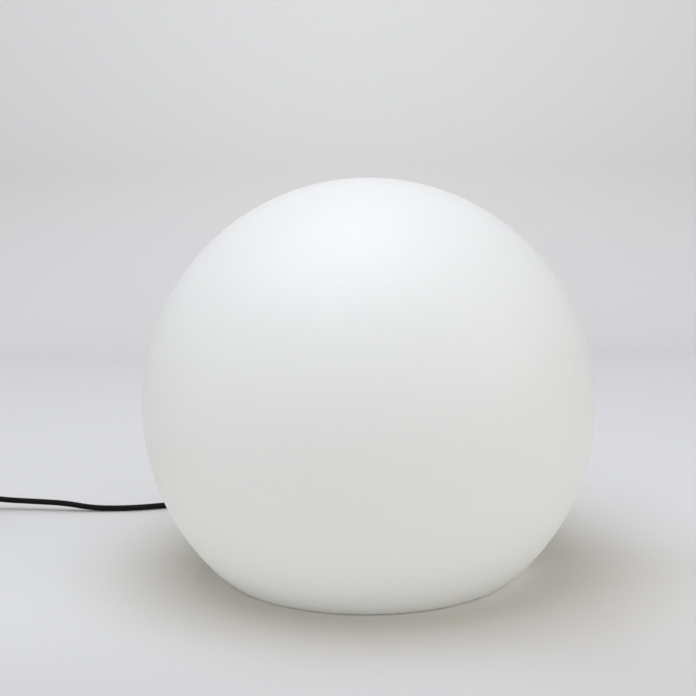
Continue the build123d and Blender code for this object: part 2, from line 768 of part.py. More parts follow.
with BuildPart() as led_board:
    with Locations((0, 0, board_base)):
        Cylinder(housing_bore - board_clearance - board_setback / 2, board_thickness, align=UP)
save(led_board.part, "led_board")

with BuildPart() as led_chips:
    with Locations((0, 0, board_base + board_thickness)):
        with PolarLocations(led_circle_radius, led_count):
            Box(led_size, led_size, led_thickness, align=UP)
save(led_chips.part, "led_chips")

with BuildPart() as bulb_driver:
    with Locations((0, 0, board_base)):
        Box(driver_width, driver_thickness, driver_length, align=DOWN)
    with Locations((0, driver_thickness / 2 + capacitor_radius - fit_clearance, board_base - board_ledge)):
        Cylinder(capacitor_radius, capacitor_length, align=DOWN)
    with Locations((0, -driver_thickness / 2, board_base - board_ledge)):
        Box(inductor_size, inductor_size, inductor_size, align=(Align.CENTER, Align.MAX, Align.MAX))
save(bulb_driver.part, "bulb_driver")

# ==== Terminal block ============================================================================
block_end = block_y - block_length / 2
with BuildPart() as terminal_block:
    with Locations((block_x, block_y, block_base)):
        Box(2 * (pole_pitch + block_wall), block_length, block_height, align=UP)
    chamfer(terminal_block.edges().group_by(Axis.Z)[-1], edge_rounding)
    for pole in (live_x, neutral_x):
        with BuildSketch(facing_y(block_end, clamp_height, pole)):
            Circle(clamp_bore + fit_clearance)
        extrude(amount=block_length, mode=Mode.SUBTRACT)
        with BuildSketch(facing_y(block_end + clamp_recess, clamp_height, pole)):
            Circle(clamp_radius + fit_clearance)
        extrude(amount=block_length - 2 * clamp_recess, mode=Mode.SUBTRACT)
        with Locations((pole, block_y, block_top)):
            with GridLocations(0, clamp_screw_spacing, 1, 2):
                Cylinder(clamp_screw_radius + fit_clearance, clamp_depth, align=DOWN, mode=Mode.SUBTRACT)
    with Locations((block_x, block_y, block_top)):
        Cylinder(small_head_radius + screw_clearance, head_recess_depth, align=DOWN, mode=Mode.SUBTRACT)
        Cylinder(small_screw_radius + screw_clearance, 2 * block_height, mode=Mode.SUBTRACT)
save(terminal_block.part, "terminal_block")

with BuildPart() as terminal_clamps:
    for pole in (live_x, neutral_x):
        with BuildSketch(facing_y(block_end + clamp_recess + fit_clearance, clamp_height, pole)):
            Circle(clamp_radius)
            Circle(clamp_bore, mode=Mode.SUBTRACT)
        extrude(amount=block_length - 2 * clamp_recess - 2 * fit_clearance)
        with Locations((pole, block_y, block_top)):
            with GridLocations(0, clamp_screw_spacing, 1, 2):
                Cylinder(clamp_screw_radius + thread_clearance, clamp_depth, align=DOWN, mode=Mode.SUBTRACT)
save(terminal_clamps.part, "terminal_clamps")

clamp_screw_tip = clamp_height + core_wire_radius + thread_clearance
clamp_screw_length = block_top - edge_rounding - clamp_screw_tip
with BuildPart() as terminal_screws:
    with Locations((block_x, block_y, clamp_screw_tip)):
        with GridLocations(pole_pitch, clamp_screw_spacing, 2, 2):
            Cylinder(clamp_screw_radius, clamp_screw_length, align=UP)
    with Locations((block_x, block_y, clamp_screw_tip + clamp_screw_length)):
        with GridLocations(pole_pitch, clamp_screw_spacing, 2, 2):
            Box(2 * clamp_screw_radius, driver_slot / 2, 2 * driver_slot, mode=Mode.SUBTRACT)
save(terminal_screws.part, "terminal_screws")

block_screw_seat = block_top - head_recess_depth
block_screw = cross_head_screw(
    small_screw_radius, block_screw_seat - pan_floor - edge_rounding, small_head_radius, small_head_height
)
with BuildPart() as terminal_fixing_screw:
    with Locations((block_x, block_y, block_screw_seat)):
        add(block_screw)
save(terminal_fixing_screw.part, "terminal_fixing_screw")

# ==== Gland =====================================================================================
grommet_y = gland_nose_y + grommet_step
with BuildPart() as gland_body:
    with BuildSketch(facing_y(gland_shank_end, gland_axis_height)):
        Circle(gland_thread_radius)
    extrude(amount=gland_body_y - gland_shank_end)
    with BuildSketch(facing_y(gland_body_y, gland_axis_height)):
        RegularPolygon(gland_flats / 2, 6, major_radius=False)
    extrude(amount=gland_hex_height)
    with BuildSketch(facing_y(gland_nose_y, gland_axis_height)):
        Circle(gland_nose_radius)
    extrude(amount=gland_nose_length)
    with BuildSketch(facing_y(gland_shank_end, gland_axis_height)):
        Circle(gland_bore)
    extrude(amount=gland_nose_y + gland_nose_length - gland_shank_end, mode=Mode.SUBTRACT)
    with BuildSketch(facing_y(grommet_y, gland_axis_height)):
        Circle(grommet_radius + thread_clearance)
    extrude(amount=gland_nose_length, mode=Mode.SUBTRACT)
save(gland_body.part, "gland_body")

gland_washer = ring(
    gland_flats / 2, gland_thread_radius + fit_clearance, gland_washer_thickness,
    facing_y(gland_seat_outer, gland_axis_height),
)
save(gland_washer, "gland_washer")

with BuildPart() as gland_locknut:
    with BuildSketch(facing_y(gland_seat_inner - locknut_height, gland_axis_height)):
        RegularPolygon(gland_flats / 2, 6, major_radius=False)
        Circle(gland_thread_radius + thread_clearance, mode=Mode.SUBTRACT)
    extrude(amount=locknut_height)
save(gland_locknut.part, "gland_locknut")

gland_seal = ring(
    grommet_radius, cord_radius + thread_clearance, gland_nose_length, facing_y(grommet_y, gland_axis_height)
)
save(gland_seal, "gland_seal")

guard_y = gland_cap_y + gland_cap_length
gland_guard = bend_guard(
    lambda distance: facing_y(guard_y + distance, gland_axis_height),
    gland_guard_length, gland_guard_radius, gland_guard_tip_radius, gland_guard_grooves,
)
with BuildPart() as gland_cap:
    with BuildSketch(facing_y(gland_cap_y, gland_axis_height)):
        RegularPolygon(gland_flats / 2, 6, major_radius=False)
    extrude(amount=gland_cap_length - gland_cap_dome)
    with BuildSketch(facing_y(gland_cap_y, gland_axis_height)):
        Circle(gland_flats / 2 - fit_clearance)
    extrude(amount=gland_cap_length)
    fillet(gland_cap.edges().group_by(Axis.Y)[-1], gland_cap_dome * 0.75)
    add(gland_guard)
    with BuildSketch(facing_y(gland_cap_y, gland_axis_height)):
        Circle(gland_nose_radius + thread_clearance)
    extrude(amount=gland_nose_length + gland_cap_space, mode=Mode.SUBTRACT)
    with BuildSketch(facing_y(gland_cap_y, gland_axis_height)):
        Circle(gland_bore)
    extrude(amount=cord_exit_y - gland_cap_y, mode=Mode.SUBTRACT)
save(gland_cap.part, "gland_cap")

# ==== Wires =====================================================================================
with BuildPart() as cable_tail:
    with BuildSketch(facing_y(sheath_end_y, gland_axis_height)):
        Circle(cord_radius)
    extrude(amount=cord_exit_y - sheath_end_y)
    with BuildSketch(facing_y(sheath_end_y, gland_axis_height)):
        with GridLocations(core_spacing, 0, 2, 1):
            Circle(core_wire_radius + thread_clearance)
    extrude(amount=core_grip, mode=Mode.SUBTRACT)
save(cable_tail.part, "cable_tail")

core_start_y = sheath_end_y + core_grip - fit_clearance
core_live_route = [
    (-core_spacing / 2, core_start_y, gland_axis_height),
    (-core_spacing / 2, sheath_end_y - core_bends[0], gland_axis_height),
    (live_x, block_y + block_bends[0], clamp_height),
    (live_x, block_y + wire_end_gap, clamp_height),
]
core_neutral_route = [
    (core_spacing / 2, core_start_y, gland_axis_height),
    (core_spacing / 2, sheath_end_y - core_bends[1], gland_axis_height),
    (neutral_x, block_y + block_bends[1], clamp_height),
    (neutral_x, block_y + wire_end_gap, clamp_height),
]
lead_live_route = [
    (live_x, block_y - wire_end_gap, clamp_height),
    (live_x, block_y - lead_bends[0], clamp_height),
    lead_turns[0],
    (lead_offset, 0, lead_rise_height),
    (lead_offset, 0, core_top - fit_clearance),
]
lead_neutral_route = [
    (neutral_x, block_y - wire_end_gap, clamp_height),
    (neutral_x, block_y - lead_bends[1], clamp_height),
    lead_turns[1],
    (-lead_offset, 0, lead_rise_height),
    (-lead_offset, 0, core_top - fit_clearance),
]
save(tube(core_live_route, core_wire_radius, "core_live"), "core_live")
save(tube(core_neutral_route, core_wire_radius, "core_neutral"), "core_neutral")
save(tube(lead_live_route, core_wire_radius, "lead_live"), "lead_live")
save(tube(lead_neutral_route, core_wire_radius, "lead_neutral"), "lead_neutral")


# ==== Cord ======================================================================================
def coil_crossings():
    """How far out and how high the coil's middle line is each time it crosses the plane through its axis.

    The top layer winds in, the next one out, and so on down. Where a spiral turns back it steps a little
    further in or out, so that it stays clear of its neighbours while it changes layer.
    """
    reach = coil_mean_radius + coil_half_turns[0] * coil_pitch / 4
    crossings = []
    for layer, half_turns in enumerate(coil_half_turns):
        direction = -1 if layer % 2 == 0 else 1
        height = coil_top - layer * coil_pitch
        for step in range(half_turns + 1):
            extra = 0.0
            if step == 0 and layer > 0:
                extra = -direction * coil_reversal_step
            if step == half_turns and layer < len(coil_half_turns) - 1:
                extra = direction * coil_reversal_step
            crossings.append((reach + direction * step * coil_pitch / 2 + extra, height))
        reach += direction * half_turns * coil_pitch / 2
    return crossings


coil_top = cord_radius + (len(coil_half_turns) - 1) * coil_pitch
crossings = coil_crossings()
sides = [1 if number % 2 == 0 else -1 for number in range(len(crossings))]
turns = [
    Vector(coil_centre_x, coil_centre_y + side * reach, height)
    for side, (reach, height) in zip(sides, crossings)
]
with BuildLine() as coil_line:
    Line(turns[0] + Vector(cord_diameter, 0, 0), turns[0])
    for side, here, after in zip(sides, turns, turns[1:]):
        half_way = (here + after) * 0.5 - Vector(side * (after - here).length / 2, 0, 0)
        ThreePointArc(here, half_way, after)
    quarter_reach = crossings[-1][0] + coil_pitch / 4
    quarter_centre = turns[-1] - Vector(0, quarter_reach, 0)
    between = quarter_centre + Vector(-quarter_reach, quarter_reach, 0) * math.sqrt(0.5)
    quarter = quarter_centre - Vector(quarter_reach, 0, 0)
    ThreePointArc(turns[-1], between, quarter)
    Line(quarter, quarter - Vector(0, cord_diameter, 0))
coil_wire = coil_line.wire()
cord_coil = swept_round(coil_wire, cord_radius, "cord_coil")
save(cord_coil, "cord_coil")

sample_step = 2.5
sample_count = int(coil_wire.length / sample_step)
samples = numpy.array([tuple(coil_wire @ (number / sample_count)) for number in range(sample_count + 1)])
apart = numpy.linalg.norm(samples[:, None, :] - samples[None, :, :], axis=2)
along = numpy.abs(numpy.subtract.outer(numpy.arange(sample_count + 1), numpy.arange(sample_count + 1)))
apart[along * sample_step < 4 * cord_diameter] = numpy.inf
print("coil: least gap to itself", round(float(apart.min()) - cord_diameter, 2))
tightest = min(reach for reach, height in crossings)
print("coil: half turns", len(crossings) - 1, "tightest bend", round(tightest, 1))

cord_run_route = [
    (0, cord_exit_y, gland_axis_height),
    (0, 122, gland_axis_height),
    (0, 160, 9.5),
    (-4, 200, 4.2),
    (-26, 238, cord_radius),
    (-72, 254, cord_radius),
    (-128, 246, cord_radius),
    (-190, 236, cord_radius),
    (-247, 231, 4.2),
    (-290, 220, 4.2),
    (-333, 218, cord_radius),
    (-380, 220, 7.0),
    (-425, 225, 11.5),
    (-466, 229, 15.5),
    (-500, 231, 21.2),
    (-524, turns[0].Y, coil_top),
    (coil_centre_x + cord_diameter, turns[0].Y, coil_top),
]
cord_run = tube(cord_run_route, cord_radius, "cord_run")
save(cord_run, "cord_run")

plug_axis_height = plug_thickness / 2
cord_end_route = [
    (quarter.X, quarter.Y - cord_diameter, cord_radius),
    (quarter.X, 149, cord_radius),
    (-601, 121, 6.5),
    (plug_x, 97, plug_axis_height),
    (plug_x, plug_boot_y, plug_axis_height),
]
cord_end = tube(cord_end_route, cord_radius, "cord_end")
save(cord_end, "cord_end")
cord_volume = cord_run.volume + cord_coil.volume + cord_end.volume
print("cord from gland to plug", round(cord_volume / (math.pi * cord_radius**2)))
print("sheath inside the base and the gland", round(cord_exit_y - sheath_end_y, 1))


# ==== Plug ======================================================================================
def along_plug(distance):
    """A plane across the plug at that distance from its bend relief's tip, looking towards the pins."""
    middle = (plug_x, plug_boot_y - distance, plug_axis_height)
    return Plane(origin=middle, x_dir=(1, 0, 0), z_dir=(0, -1, 0))


plug_face = boot_length + plug_shoulder_length + plug_face_depth
boot = bend_guard(along_plug, boot_length, boot_tip_radius, boot_radius, boot_grooves)
with BuildPart() as plug_body:
    add(boot)
    with BuildSketch(along_plug(boot_length)):
        RectangleRounded(2 * boot_radius, 2 * boot_radius, boot_radius * 0.98)
    with BuildSketch(along_plug(boot_length + plug_shoulder_length / 2)):
        RectangleRounded(plug_waist_width, plug_waist_thickness, plug_corner)
    with BuildSketch(along_plug(boot_length + plug_shoulder_length)):
        RectangleRounded(plug_width, plug_thickness, plug_corner)
    loft(ruled=True)
    with BuildSketch(along_plug(boot_length + plug_shoulder_length)):
        RectangleRounded(plug_width, plug_thickness, plug_corner)
    extrude(amount=plug_face_depth)
    fillet(plug_body.edges().group_by(Axis.Y)[0], 2 * edge_rounding)
    with BuildSketch(along_plug(plug_face)):
        with GridLocations(pin_spacing, 0, 2, 1):
            Circle(pin_root_radius + thread_clearance)
    extrude(amount=-pin_socket_depth, mode=Mode.SUBTRACT)
save(plug_body.part, "plug_body")

with BuildPart() as plug_pins:
    with BuildSketch(along_plug(plug_face + pin_root_step)):
        with GridLocations(pin_spacing, 0, 2, 1):
            Circle(pin_radius)
    extrude(amount=pin_length - pin_root_step)
    fillet(plug_pins.edges().group_by(Axis.Y)[0], pin_radius * 0.7)
    with BuildSketch(along_plug(plug_face - pin_socket_depth)):
        with GridLocations(pin_spacing, 0, 2, 1):
            Circle(pin_root_radius)
    extrude(amount=pin_socket_depth + pin_root_step)
save(plug_pins.part, "plug_pins")
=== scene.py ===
# %% [markdown]
# # A garden globe light
# The object is a white plastic globe, half a metre across, that is cut flat underneath. It stands
# over a round black base, which carries the lampholder and the bulb, and a black rubber cable
# leaves under its rim at the back.
# The solids come ready made from the frame, in metres, with the floor at zero. This file gives
# them their finishes, lays the cable as a real cable lies, makes the screws with their threads,
# and sets up the light and the camera.

import json
import math

import bpy
from mathutils import Matrix, Vector

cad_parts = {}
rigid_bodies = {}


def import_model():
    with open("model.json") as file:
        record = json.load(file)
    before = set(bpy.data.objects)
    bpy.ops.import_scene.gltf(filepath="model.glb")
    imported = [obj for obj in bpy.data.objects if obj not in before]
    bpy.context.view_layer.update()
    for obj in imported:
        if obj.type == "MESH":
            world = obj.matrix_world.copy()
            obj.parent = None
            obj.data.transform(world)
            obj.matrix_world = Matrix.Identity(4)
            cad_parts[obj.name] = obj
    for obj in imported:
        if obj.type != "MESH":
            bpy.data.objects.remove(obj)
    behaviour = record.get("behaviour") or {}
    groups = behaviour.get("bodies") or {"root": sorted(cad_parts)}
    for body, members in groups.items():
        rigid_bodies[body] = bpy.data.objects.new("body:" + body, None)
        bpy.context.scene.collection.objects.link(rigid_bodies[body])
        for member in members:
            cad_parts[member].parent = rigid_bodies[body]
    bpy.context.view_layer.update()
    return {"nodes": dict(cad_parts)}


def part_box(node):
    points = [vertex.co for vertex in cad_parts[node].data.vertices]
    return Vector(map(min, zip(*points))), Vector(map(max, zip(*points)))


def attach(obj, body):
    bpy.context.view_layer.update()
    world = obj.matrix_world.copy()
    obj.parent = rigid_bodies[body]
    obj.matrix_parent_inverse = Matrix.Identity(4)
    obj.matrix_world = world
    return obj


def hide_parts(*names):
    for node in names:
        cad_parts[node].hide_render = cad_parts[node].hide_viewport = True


for leftover in list(bpy.data.objects):
    bpy.data.objects.remove(leftover)
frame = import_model()
nodes = frame["nodes"]

# %% [markdown]
# ## The camera
# A long lens was used, from about two metres away and a little above the globe, so its sides
# hardly converge. The camera could be aimed with a constraint, but here its three axes are worked
# out from its heading, its tilt and its small roll, because the roll is what makes the cable and
# the floor lean as they do in the photograph.

# %% Camera
camera_place = Vector((0, -1.94517, 0.65211))
camera_heading = math.radians(-0.643)
camera_tilt = math.radians(11.669)
camera_roll = math.radians(0.734)
globe_centre = Vector((0, 0, 0.187))

level_forward = Vector((math.sin(camera_heading), math.cos(camera_heading), 0))
forward = level_forward * math.cos(camera_tilt)
forward.z = -math.sin(camera_tilt)
level_right = forward.cross(Vector((0, 0, 1))).normalized()
level_up = level_right.cross(forward)
right = level_right * math.cos(camera_roll) - level_up * math.sin(camera_roll)
up = level_up * math.cos(camera_roll) + level_right * math.sin(camera_roll)
camera_axes = Matrix((right, up, -forward)).transposed().to_4x4()

camera_data = bpy.data.cameras.new("photo_camera")
camera_data.sensor_width = 36
camera_data.lens = 93.09
camera = bpy.data.objects.new("photo_camera", camera_data)
bpy.context.scene.collection.objects.link(camera)
camera.matrix_world = Matrix.Translation(camera_place) @ camera_axes
bpy.context.scene.camera = camera
print("camera to globe centre", round((camera_place - globe_centre).length, 3))

# %% [markdown]
# ## The cable
# The cable is five metres of black rubber sheath, seven millimetres thick, and only a short
# stretch of it is in view. It leaves the gland under the rim, lies on the floor behind the globe,
# and rises over the coil in which the rest of it is put away. The plug lies beside the coil.
# A cable is one length of one material, so it is one curve with a round section. A NURBS spline
# pulled by a few points gives the slow bends that a stiff cable takes by itself. The points of the
# free stretches are given one by one.

# %% The cable's two ends and its free run
cord_diameter = 0.007
cord_radius = cord_diameter / 2
gland_low, gland_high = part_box("gland_cap")
plug_low, plug_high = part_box("plug_body")
cord_exit = Vector((0, gland_high.y, (gland_low.z + gland_high.z) / 2))
plug_end = Vector(((plug_low.x + plug_high.x) / 2, plug_high.y, (plug_low.z + plug_high.z) / 2))

# Laid near the points that the solid cable follows, and moved a little to follow the
# photograph.
free_run = [
    tuple(cord_exit),
    (0, 0.122, 0.0155),
    (0, 0.160, 0.0095),
    (-0.004, 0.200, 0.0042),
    (-0.026, 0.238, 0.0035),
    (-0.072, 0.254, 0.0035),
    (-0.128, 0.246, 0.0035),
    (-0.190, 0.236, 0.0035),
    (-0.247, 0.231, 0.0042),
    (-0.285, 0.220, 0.0038),
    (-0.322, 0.218, 0.0035),
    (-0.350, 0.2185, 0.0048),
    (-0.381, 0.2215, 0.0100),
    (-0.425, 0.227, 0.0112),
    (-0.466, 0.230, 0.0130),
    (-0.500, 0.2315, 0.0200),
    (-0.524, 0.2325, 0.0263),
    (-0.543, 0.2325, 0.0263),
]
print("cable leaves at", [round(value, 4) for value in cord_exit])

# %% [markdown]
# ## The coil
# The cable is wound away as a person winds it: round and round in one flat layer, and back again
# in the next one down. A loop works the turns out, half a turn at a time, because a coil follows a
# rule. Each layer winds in or out at a steady rate, and goes a little further where it turns back,
# so that the turns lie beside and on each other without cutting into each other.

# %% The coil's half turns
coil_centre = Vector((-0.550, 0.175, 0))
coil_pitch = 0.0076
coil_half_turns = [7, 7, 7, 6]  # in each layer, from the top one down
coil_mean_radius = 0.0442
coil_reversal_step = 0.0013
coil_top = cord_radius + (len(coil_half_turns) - 1) * coil_pitch


def coil_crossings():
    """How far out and how high the cable is after each half turn, layer by layer."""
    last_layer = len(coil_half_turns) - 1
    reach = coil_mean_radius + coil_half_turns[0] * coil_pitch / 4
    found = []
    for layer, half_turns in enumerate(coil_half_turns):
        direction = -1 if layer % 2 == 0 else 1
        level = coil_top - layer * coil_pitch
        for step in range(half_turns + 1):
            extra = 0.0
            if step == 0 and layer > 0:
                extra = -direction * coil_reversal_step
            if step == half_turns and layer < last_layer:
                extra = direction * coil_reversal_step
            found.append((reach + direction * step * coil_pitch / 2 + extra, level))
        reach += direction * half_turns * coil_pitch / 2
    return found


crossings = coil_crossings()
print("half turns", len(crossings) - 1)

# %% The coil's points
points_in_half_turn = 8
coil_back = 0.5  # where the cable comes in, in half turns from the coil's right side
spline_pull = 1 / math.cos(math.pi / points_in_half_turn / 2)  # the spline runs inside its points


def coil_place(out, angle, level):
    """The point so far out from the coil's middle, at an angle and a height."""
    return coil_centre.x + out * math.cos(angle), coil_centre.y + out * math.sin(angle), level


coil_points = []
for half_turn, (start, end) in enumerate(zip(crossings, crossings[1:])):
    for step in range(1, points_in_half_turn + 1):
        share = (1 - math.cos(math.pi * step / points_in_half_turn)) / 2
        angle = math.pi * (coil_back + half_turn + step / points_in_half_turn)
        reach, level = (first + (last - first) * share for first, last in zip(start, end))
        coil_points.append(coil_place(reach * spline_pull, angle, level))

# A last quarter of a turn, on the floor, brings the cable to the coil's left side.
last_reach = crossings[-1][0] + coil_pitch / 4
for step in range(1, points_in_half_turn // 2):
    angle = math.pi * (coil_back + step / points_in_half_turn)
    coil_points.append(coil_place(last_reach * spline_pull, angle, cord_radius))
coil_side_x = coil_centre.x - last_reach
print("coil points", len(coil_points), "side at", round(coil_side_x, 4))

# %% The cable as one curve
plug_run = [
    (coil_side_x, 0.170, cord_radius),
    (coil_side_x, 0.149, cord_radius),
    (-0.601, 0.121, 0.0065),
    (plug_end.x, 0.097, plug_end.z),
    tuple(plug_end),
]
route = free_run + coil_points + plug_run
cord_curve = bpy.data.curves.new("cable", "CURVE")
cord_curve.dimensions = "3D"
cord_line = cord_curve.splines.new("NURBS")
cord_line.points.add(len(route) - 1)
for point, place in zip(cord_line.points, route):
    point.co = (*place, 1)
cord_line.order_u = 3
cord_line.use_endpoint_u = True
cord_line.resolution_u = 6
cord_curve.bevel_depth = cord_radius
cord_curve.bevel_resolution = 7
cord_curve.use_fill_caps = True
cord = bpy.data.objects.new("cable", cord_curve)
bpy.context.scene.collection.objects.link(cord)
print("cable length", round(cord_line.calc_length(), 3))

# %% [markdown]
# ## Helpers for node trees
# Shader trees and Geometry Nodes trees are both made by adding nodes and linking their sockets.
# A few small helpers keep that readable: one adds a node with its settings and inputs, one makes a
# group with named sockets, and the others are short words for the nodes that are used most.


# %% Adding nodes and groups
def add_node(tree, kind, inputs=None, **settings):
    """Adds a node. An input given as a socket is linked, and any other is set to the value."""
    made = tree.nodes.new(kind)
    for name, value in settings.items():
        setattr(made, name, value)
    for name, value in (inputs or {}).items():
        if isinstance(value, bpy.types.NodeSocket):
            tree.links.new(value, made.inputs[name])
        else:
            made.inputs[name].default_value = value
    return made


input_types = {float: "NodeSocketFloat", int: "NodeSocketInt", tuple: "NodeSocketVector"}
output_types = {"ShaderNodeTree": "NodeSocketFloat", "GeometryNodeTree": "NodeSocketGeometry"}


def new_group(name, kind, inputs, outputs):
    """A node group with named sockets. An input's type follows from its default value."""
    tree = bpy.data.node_groups.new(name, kind)
    for label, value in inputs.items():
        socket = input_types[type(value)]
        made = tree.interface.new_socket(label, in_out="INPUT", socket_type=socket)
        made.default_value = value
    for label in outputs:
        tree.interface.new_socket(label, in_out="OUTPUT", socket_type=output_types[kind])
    given = tree.nodes.new("NodeGroupInput").outputs
    result = tree.nodes.new("NodeGroupOutput").inputs
    return tree, given, result


# %% Short words for common nodes
def number(tree, operation, first, second=None, clamp=False):
    """The result of one sum, for values and fields alike."""
    inputs = {0: first} if second is None else {0: first, 1: second}
    settings = {"operation": operation, "use_clamp": clamp}
    return add_node(tree, "ShaderNodeMath", inputs, **settings).outputs[0]


def vector(tree, **parts):
    """A vector put together from its X, Y and Z, where any left out is nought."""
    return add_node(tree, "ShaderNodeCombineXYZ", parts).outputs[0]


def object_place(tree):
    """Where a point of the surface is, in the object's own coordinates."""
    return add_node(tree, "ShaderNodeTexCoord").outputs["Object"]


noise_middle = 0.5  # the value that a noise texture varies around


def noise(tree, place, **inputs):
    """A noise texture's value at each place."""
    return add_node(tree, "ShaderNodeTexNoise", {"Vector": place, **inputs}).outputs[0]


# %% [markdown]
# ## Effects that several finishes share
# Moulded plastic, rubber and metal look different mostly in their fine grain, in slow changes of
# tone, in edges that handling has polished, and in the dust that settles on what faces up. Each is
# a group, made once, that reads the object's own coordinates, so it stays on the surface when the
# part moves.

# %% Fine grain
grain, given, result = new_group(
    "fine_grain", "ShaderNodeTree", {"Scale": 900.0, "Roughness Change": 0.1},
    ["Height", "Roughness Offset"],
)
speckle = noise(grain, object_place(grain), Scale=given["Scale"], Detail=3.0, Roughness=0.6)
centred = number(grain, "SUBTRACT", speckle, noise_middle)
offset = number(grain, "MULTIPLY", centred, given["Roughness Change"])
grain.links.new(speckle, result["Height"])
grain.links.new(offset, result["Roughness Offset"])

# %% Slow changes of tone
clouds, given, result = new_group(
    "slow_tone", "ShaderNodeTree", {"Scale": 12.0, "Contrast": 1.0}, ["Share"]
)
drift = noise(clouds, object_place(clouds), Scale=given["Scale"], Detail=2.0)
centred = number(clouds, "SUBTRACT", drift, noise_middle)
spread = number(clouds, "MULTIPLY", centred, given["Contrast"])
clouds.links.new(number(clouds, "ADD", spread, noise_middle, clamp=True), result["Share"])

# %% Worn edges
edge_gain = 5.0  # how fast a bend of the surface counts as an edge
wear, given, result = new_group(
    "worn_edges", "ShaderNodeTree", {"Width": 0.0006, "Amount": 1.0}, ["Mask"]
)
soft = add_node(wear, "ShaderNodeBevel", {"Radius": given["Width"]}, samples=4).outputs[0]
true_normal = add_node(wear, "ShaderNodeNewGeometry").outputs["Normal"]
normals = {0: soft, 1: true_normal}
same = add_node(wear, "ShaderNodeVectorMath", normals, operation="DOT_PRODUCT").outputs["Value"]
edge = number(wear, "MULTIPLY", number(wear, "SUBTRACT", 1.0, same), edge_gain)
patches = noise(wear, object_place(wear), Scale=160.0, Detail=3.0)
patchy = number(wear, "MULTIPLY", edge, patches)
wear.links.new(number(wear, "MULTIPLY", patchy, given["Amount"], clamp=True), result["Mask"])

# %% Settled dust
dust_slope = 2.0  # the power with which dust thins out as the surface tips over
dust, given, result = new_group(
    "settled_dust", "ShaderNodeTree", {"Amount": 0.2, "Scale": 300.0}, ["Mask"]
)
true_normal = add_node(dust, "ShaderNodeNewGeometry").outputs["Normal"]
upward = add_node(dust, "ShaderNodeSeparateXYZ", {0: true_normal}).outputs["Z"]
level_share = number(dust, "POWER", number(dust, "MAXIMUM", upward, 0.0), dust_slope)
flecks = noise(dust, object_place(dust), Scale=given["Scale"], Detail=4.0)
lying = number(dust, "MULTIPLY", level_share, flecks)
dust.links.new(number(dust, "MULTIPLY", lying, given["Amount"], clamp=True), result["Mask"])

# %% Drawn metal
drawn, given, result = new_group(
    "drawn_lines", "ShaderNodeTree", {"Fine": 1800.0, "Along": 60.0}, ["Height"]
)
stretch = vector(drawn, X=given["Along"], Y=given["Along"], Z=given["Fine"])
stretched = add_node(
    drawn, "ShaderNodeVectorMath", {0: object_place(drawn), 1: stretch}, operation="MULTIPLY"
).outputs[0]
drawn.links.new(noise(drawn, stretched, Scale=1.0, Detail=2.0), result["Height"])
print("shared effects", [tree.name for tree in bpy.data.node_groups])

# %% [markdown]
# ## Finishes
# One function makes every finish, because the parts of a lamp differ in numbers rather than in
# kind: two tones that drift into each other, a roughness, a grain with its depth, how far the edges
# are worn and how much dust lies on it. What is the same all over a surface, such as its clear coat
# or how far light soaks into it, is set on the shader itself.

# %% Mixing colours
# A Mix node has sockets for each kind of value, so those for colours are found by their numbers.
mix_share, mix_first, mix_second, mix_result = 0, 6, 7, 2


def mixed(tree, share, first, second, blend_type="MIX"):
    """A colour made from two, each a colour or a socket."""
    mix = add_node(tree, "ShaderNodeMix", data_type="RGBA", blend_type=blend_type)
    for index, value in ((mix_share, share), (mix_first, first), (mix_second, second)):
        if isinstance(value, bpy.types.NodeSocket):
            tree.links.new(value, mix.inputs[index])
        else:
            mix.inputs[index].default_value = value if index == mix_share else (*value, 1)
    return mix.outputs[mix_result]


# %% The finish maker
finishes = {}


def group_node(tree, group, inputs):
    """Places a group in a material with its own values."""
    return add_node(tree, "ShaderNodeGroup", inputs, node_tree=group).outputs


def make_finish(
    name, tone, other_tone, *, roughness, metallic=0.0, tone_scale=30.0, contrast=1.0,
    grain_scale=900.0, grain_depth=0.00005, roughness_change=0.1, edge_tone=None,
    edge_width=0.0006, edge_amount=0.6, dust_amount=0.0, dust_tone=(0.42, 0.40, 0.36),
    lines=False, **shader,
):
    """Adds a finish whose tone, roughness and relief all change over the surface."""
    material = bpy.data.materials.new(name)
    material.use_nodes = True
    tree = material.node_tree
    principled = tree.nodes["Principled BSDF"]
    share = group_node(tree, clouds, {"Scale": tone_scale, "Contrast": contrast})["Share"]
    colour = mixed(tree, share, tone, other_tone)
    if edge_tone:
        edges = group_node(tree, wear, {"Width": edge_width, "Amount": edge_amount})["Mask"]
        colour = mixed(tree, edges, colour, edge_tone)
    relief = group_node(
        tree, grain, {"Scale": grain_scale, "Roughness Change": roughness_change}
    )
    rough = number(tree, "ADD", relief["Roughness Offset"], roughness)
    if dust_amount:
        settled = group_node(tree, dust, {"Amount": dust_amount})["Mask"]
        colour = mixed(tree, settled, colour, dust_tone)
        rough = number(tree, "ADD", rough, settled, clamp=True)
    height = relief["Height"]
    if lines:
        height = number(tree, "ADD", height, group_node(tree, drawn, {})["Height"])
    bump = add_node(
        tree, "ShaderNodeBump", {"Strength": 1.0, "Distance": grain_depth, "Height": height}
    ).outputs[0]
    for socket, source in (("Base Color", colour), ("Roughness", rough), ("Normal", bump)):
        tree.links.new(source, principled.inputs[socket])
    principled.inputs["Metallic"].default_value = metallic
    for socket, value in shader.items():
        principled.inputs[socket.replace("_", " ")].default_value = value
    finishes[name] = material


# %% [markdown]
# ## The globe's plastic
# The globe is moulded in milky polyethylene. A little light goes into it and comes out again
# nearby, which softens every change of tone, and the outside has the faint orange peel that a mould
# leaves. So its finish scatters light under the surface, with a very shallow grain and a satin
# roughness, and no colour beyond a trace of warmth.

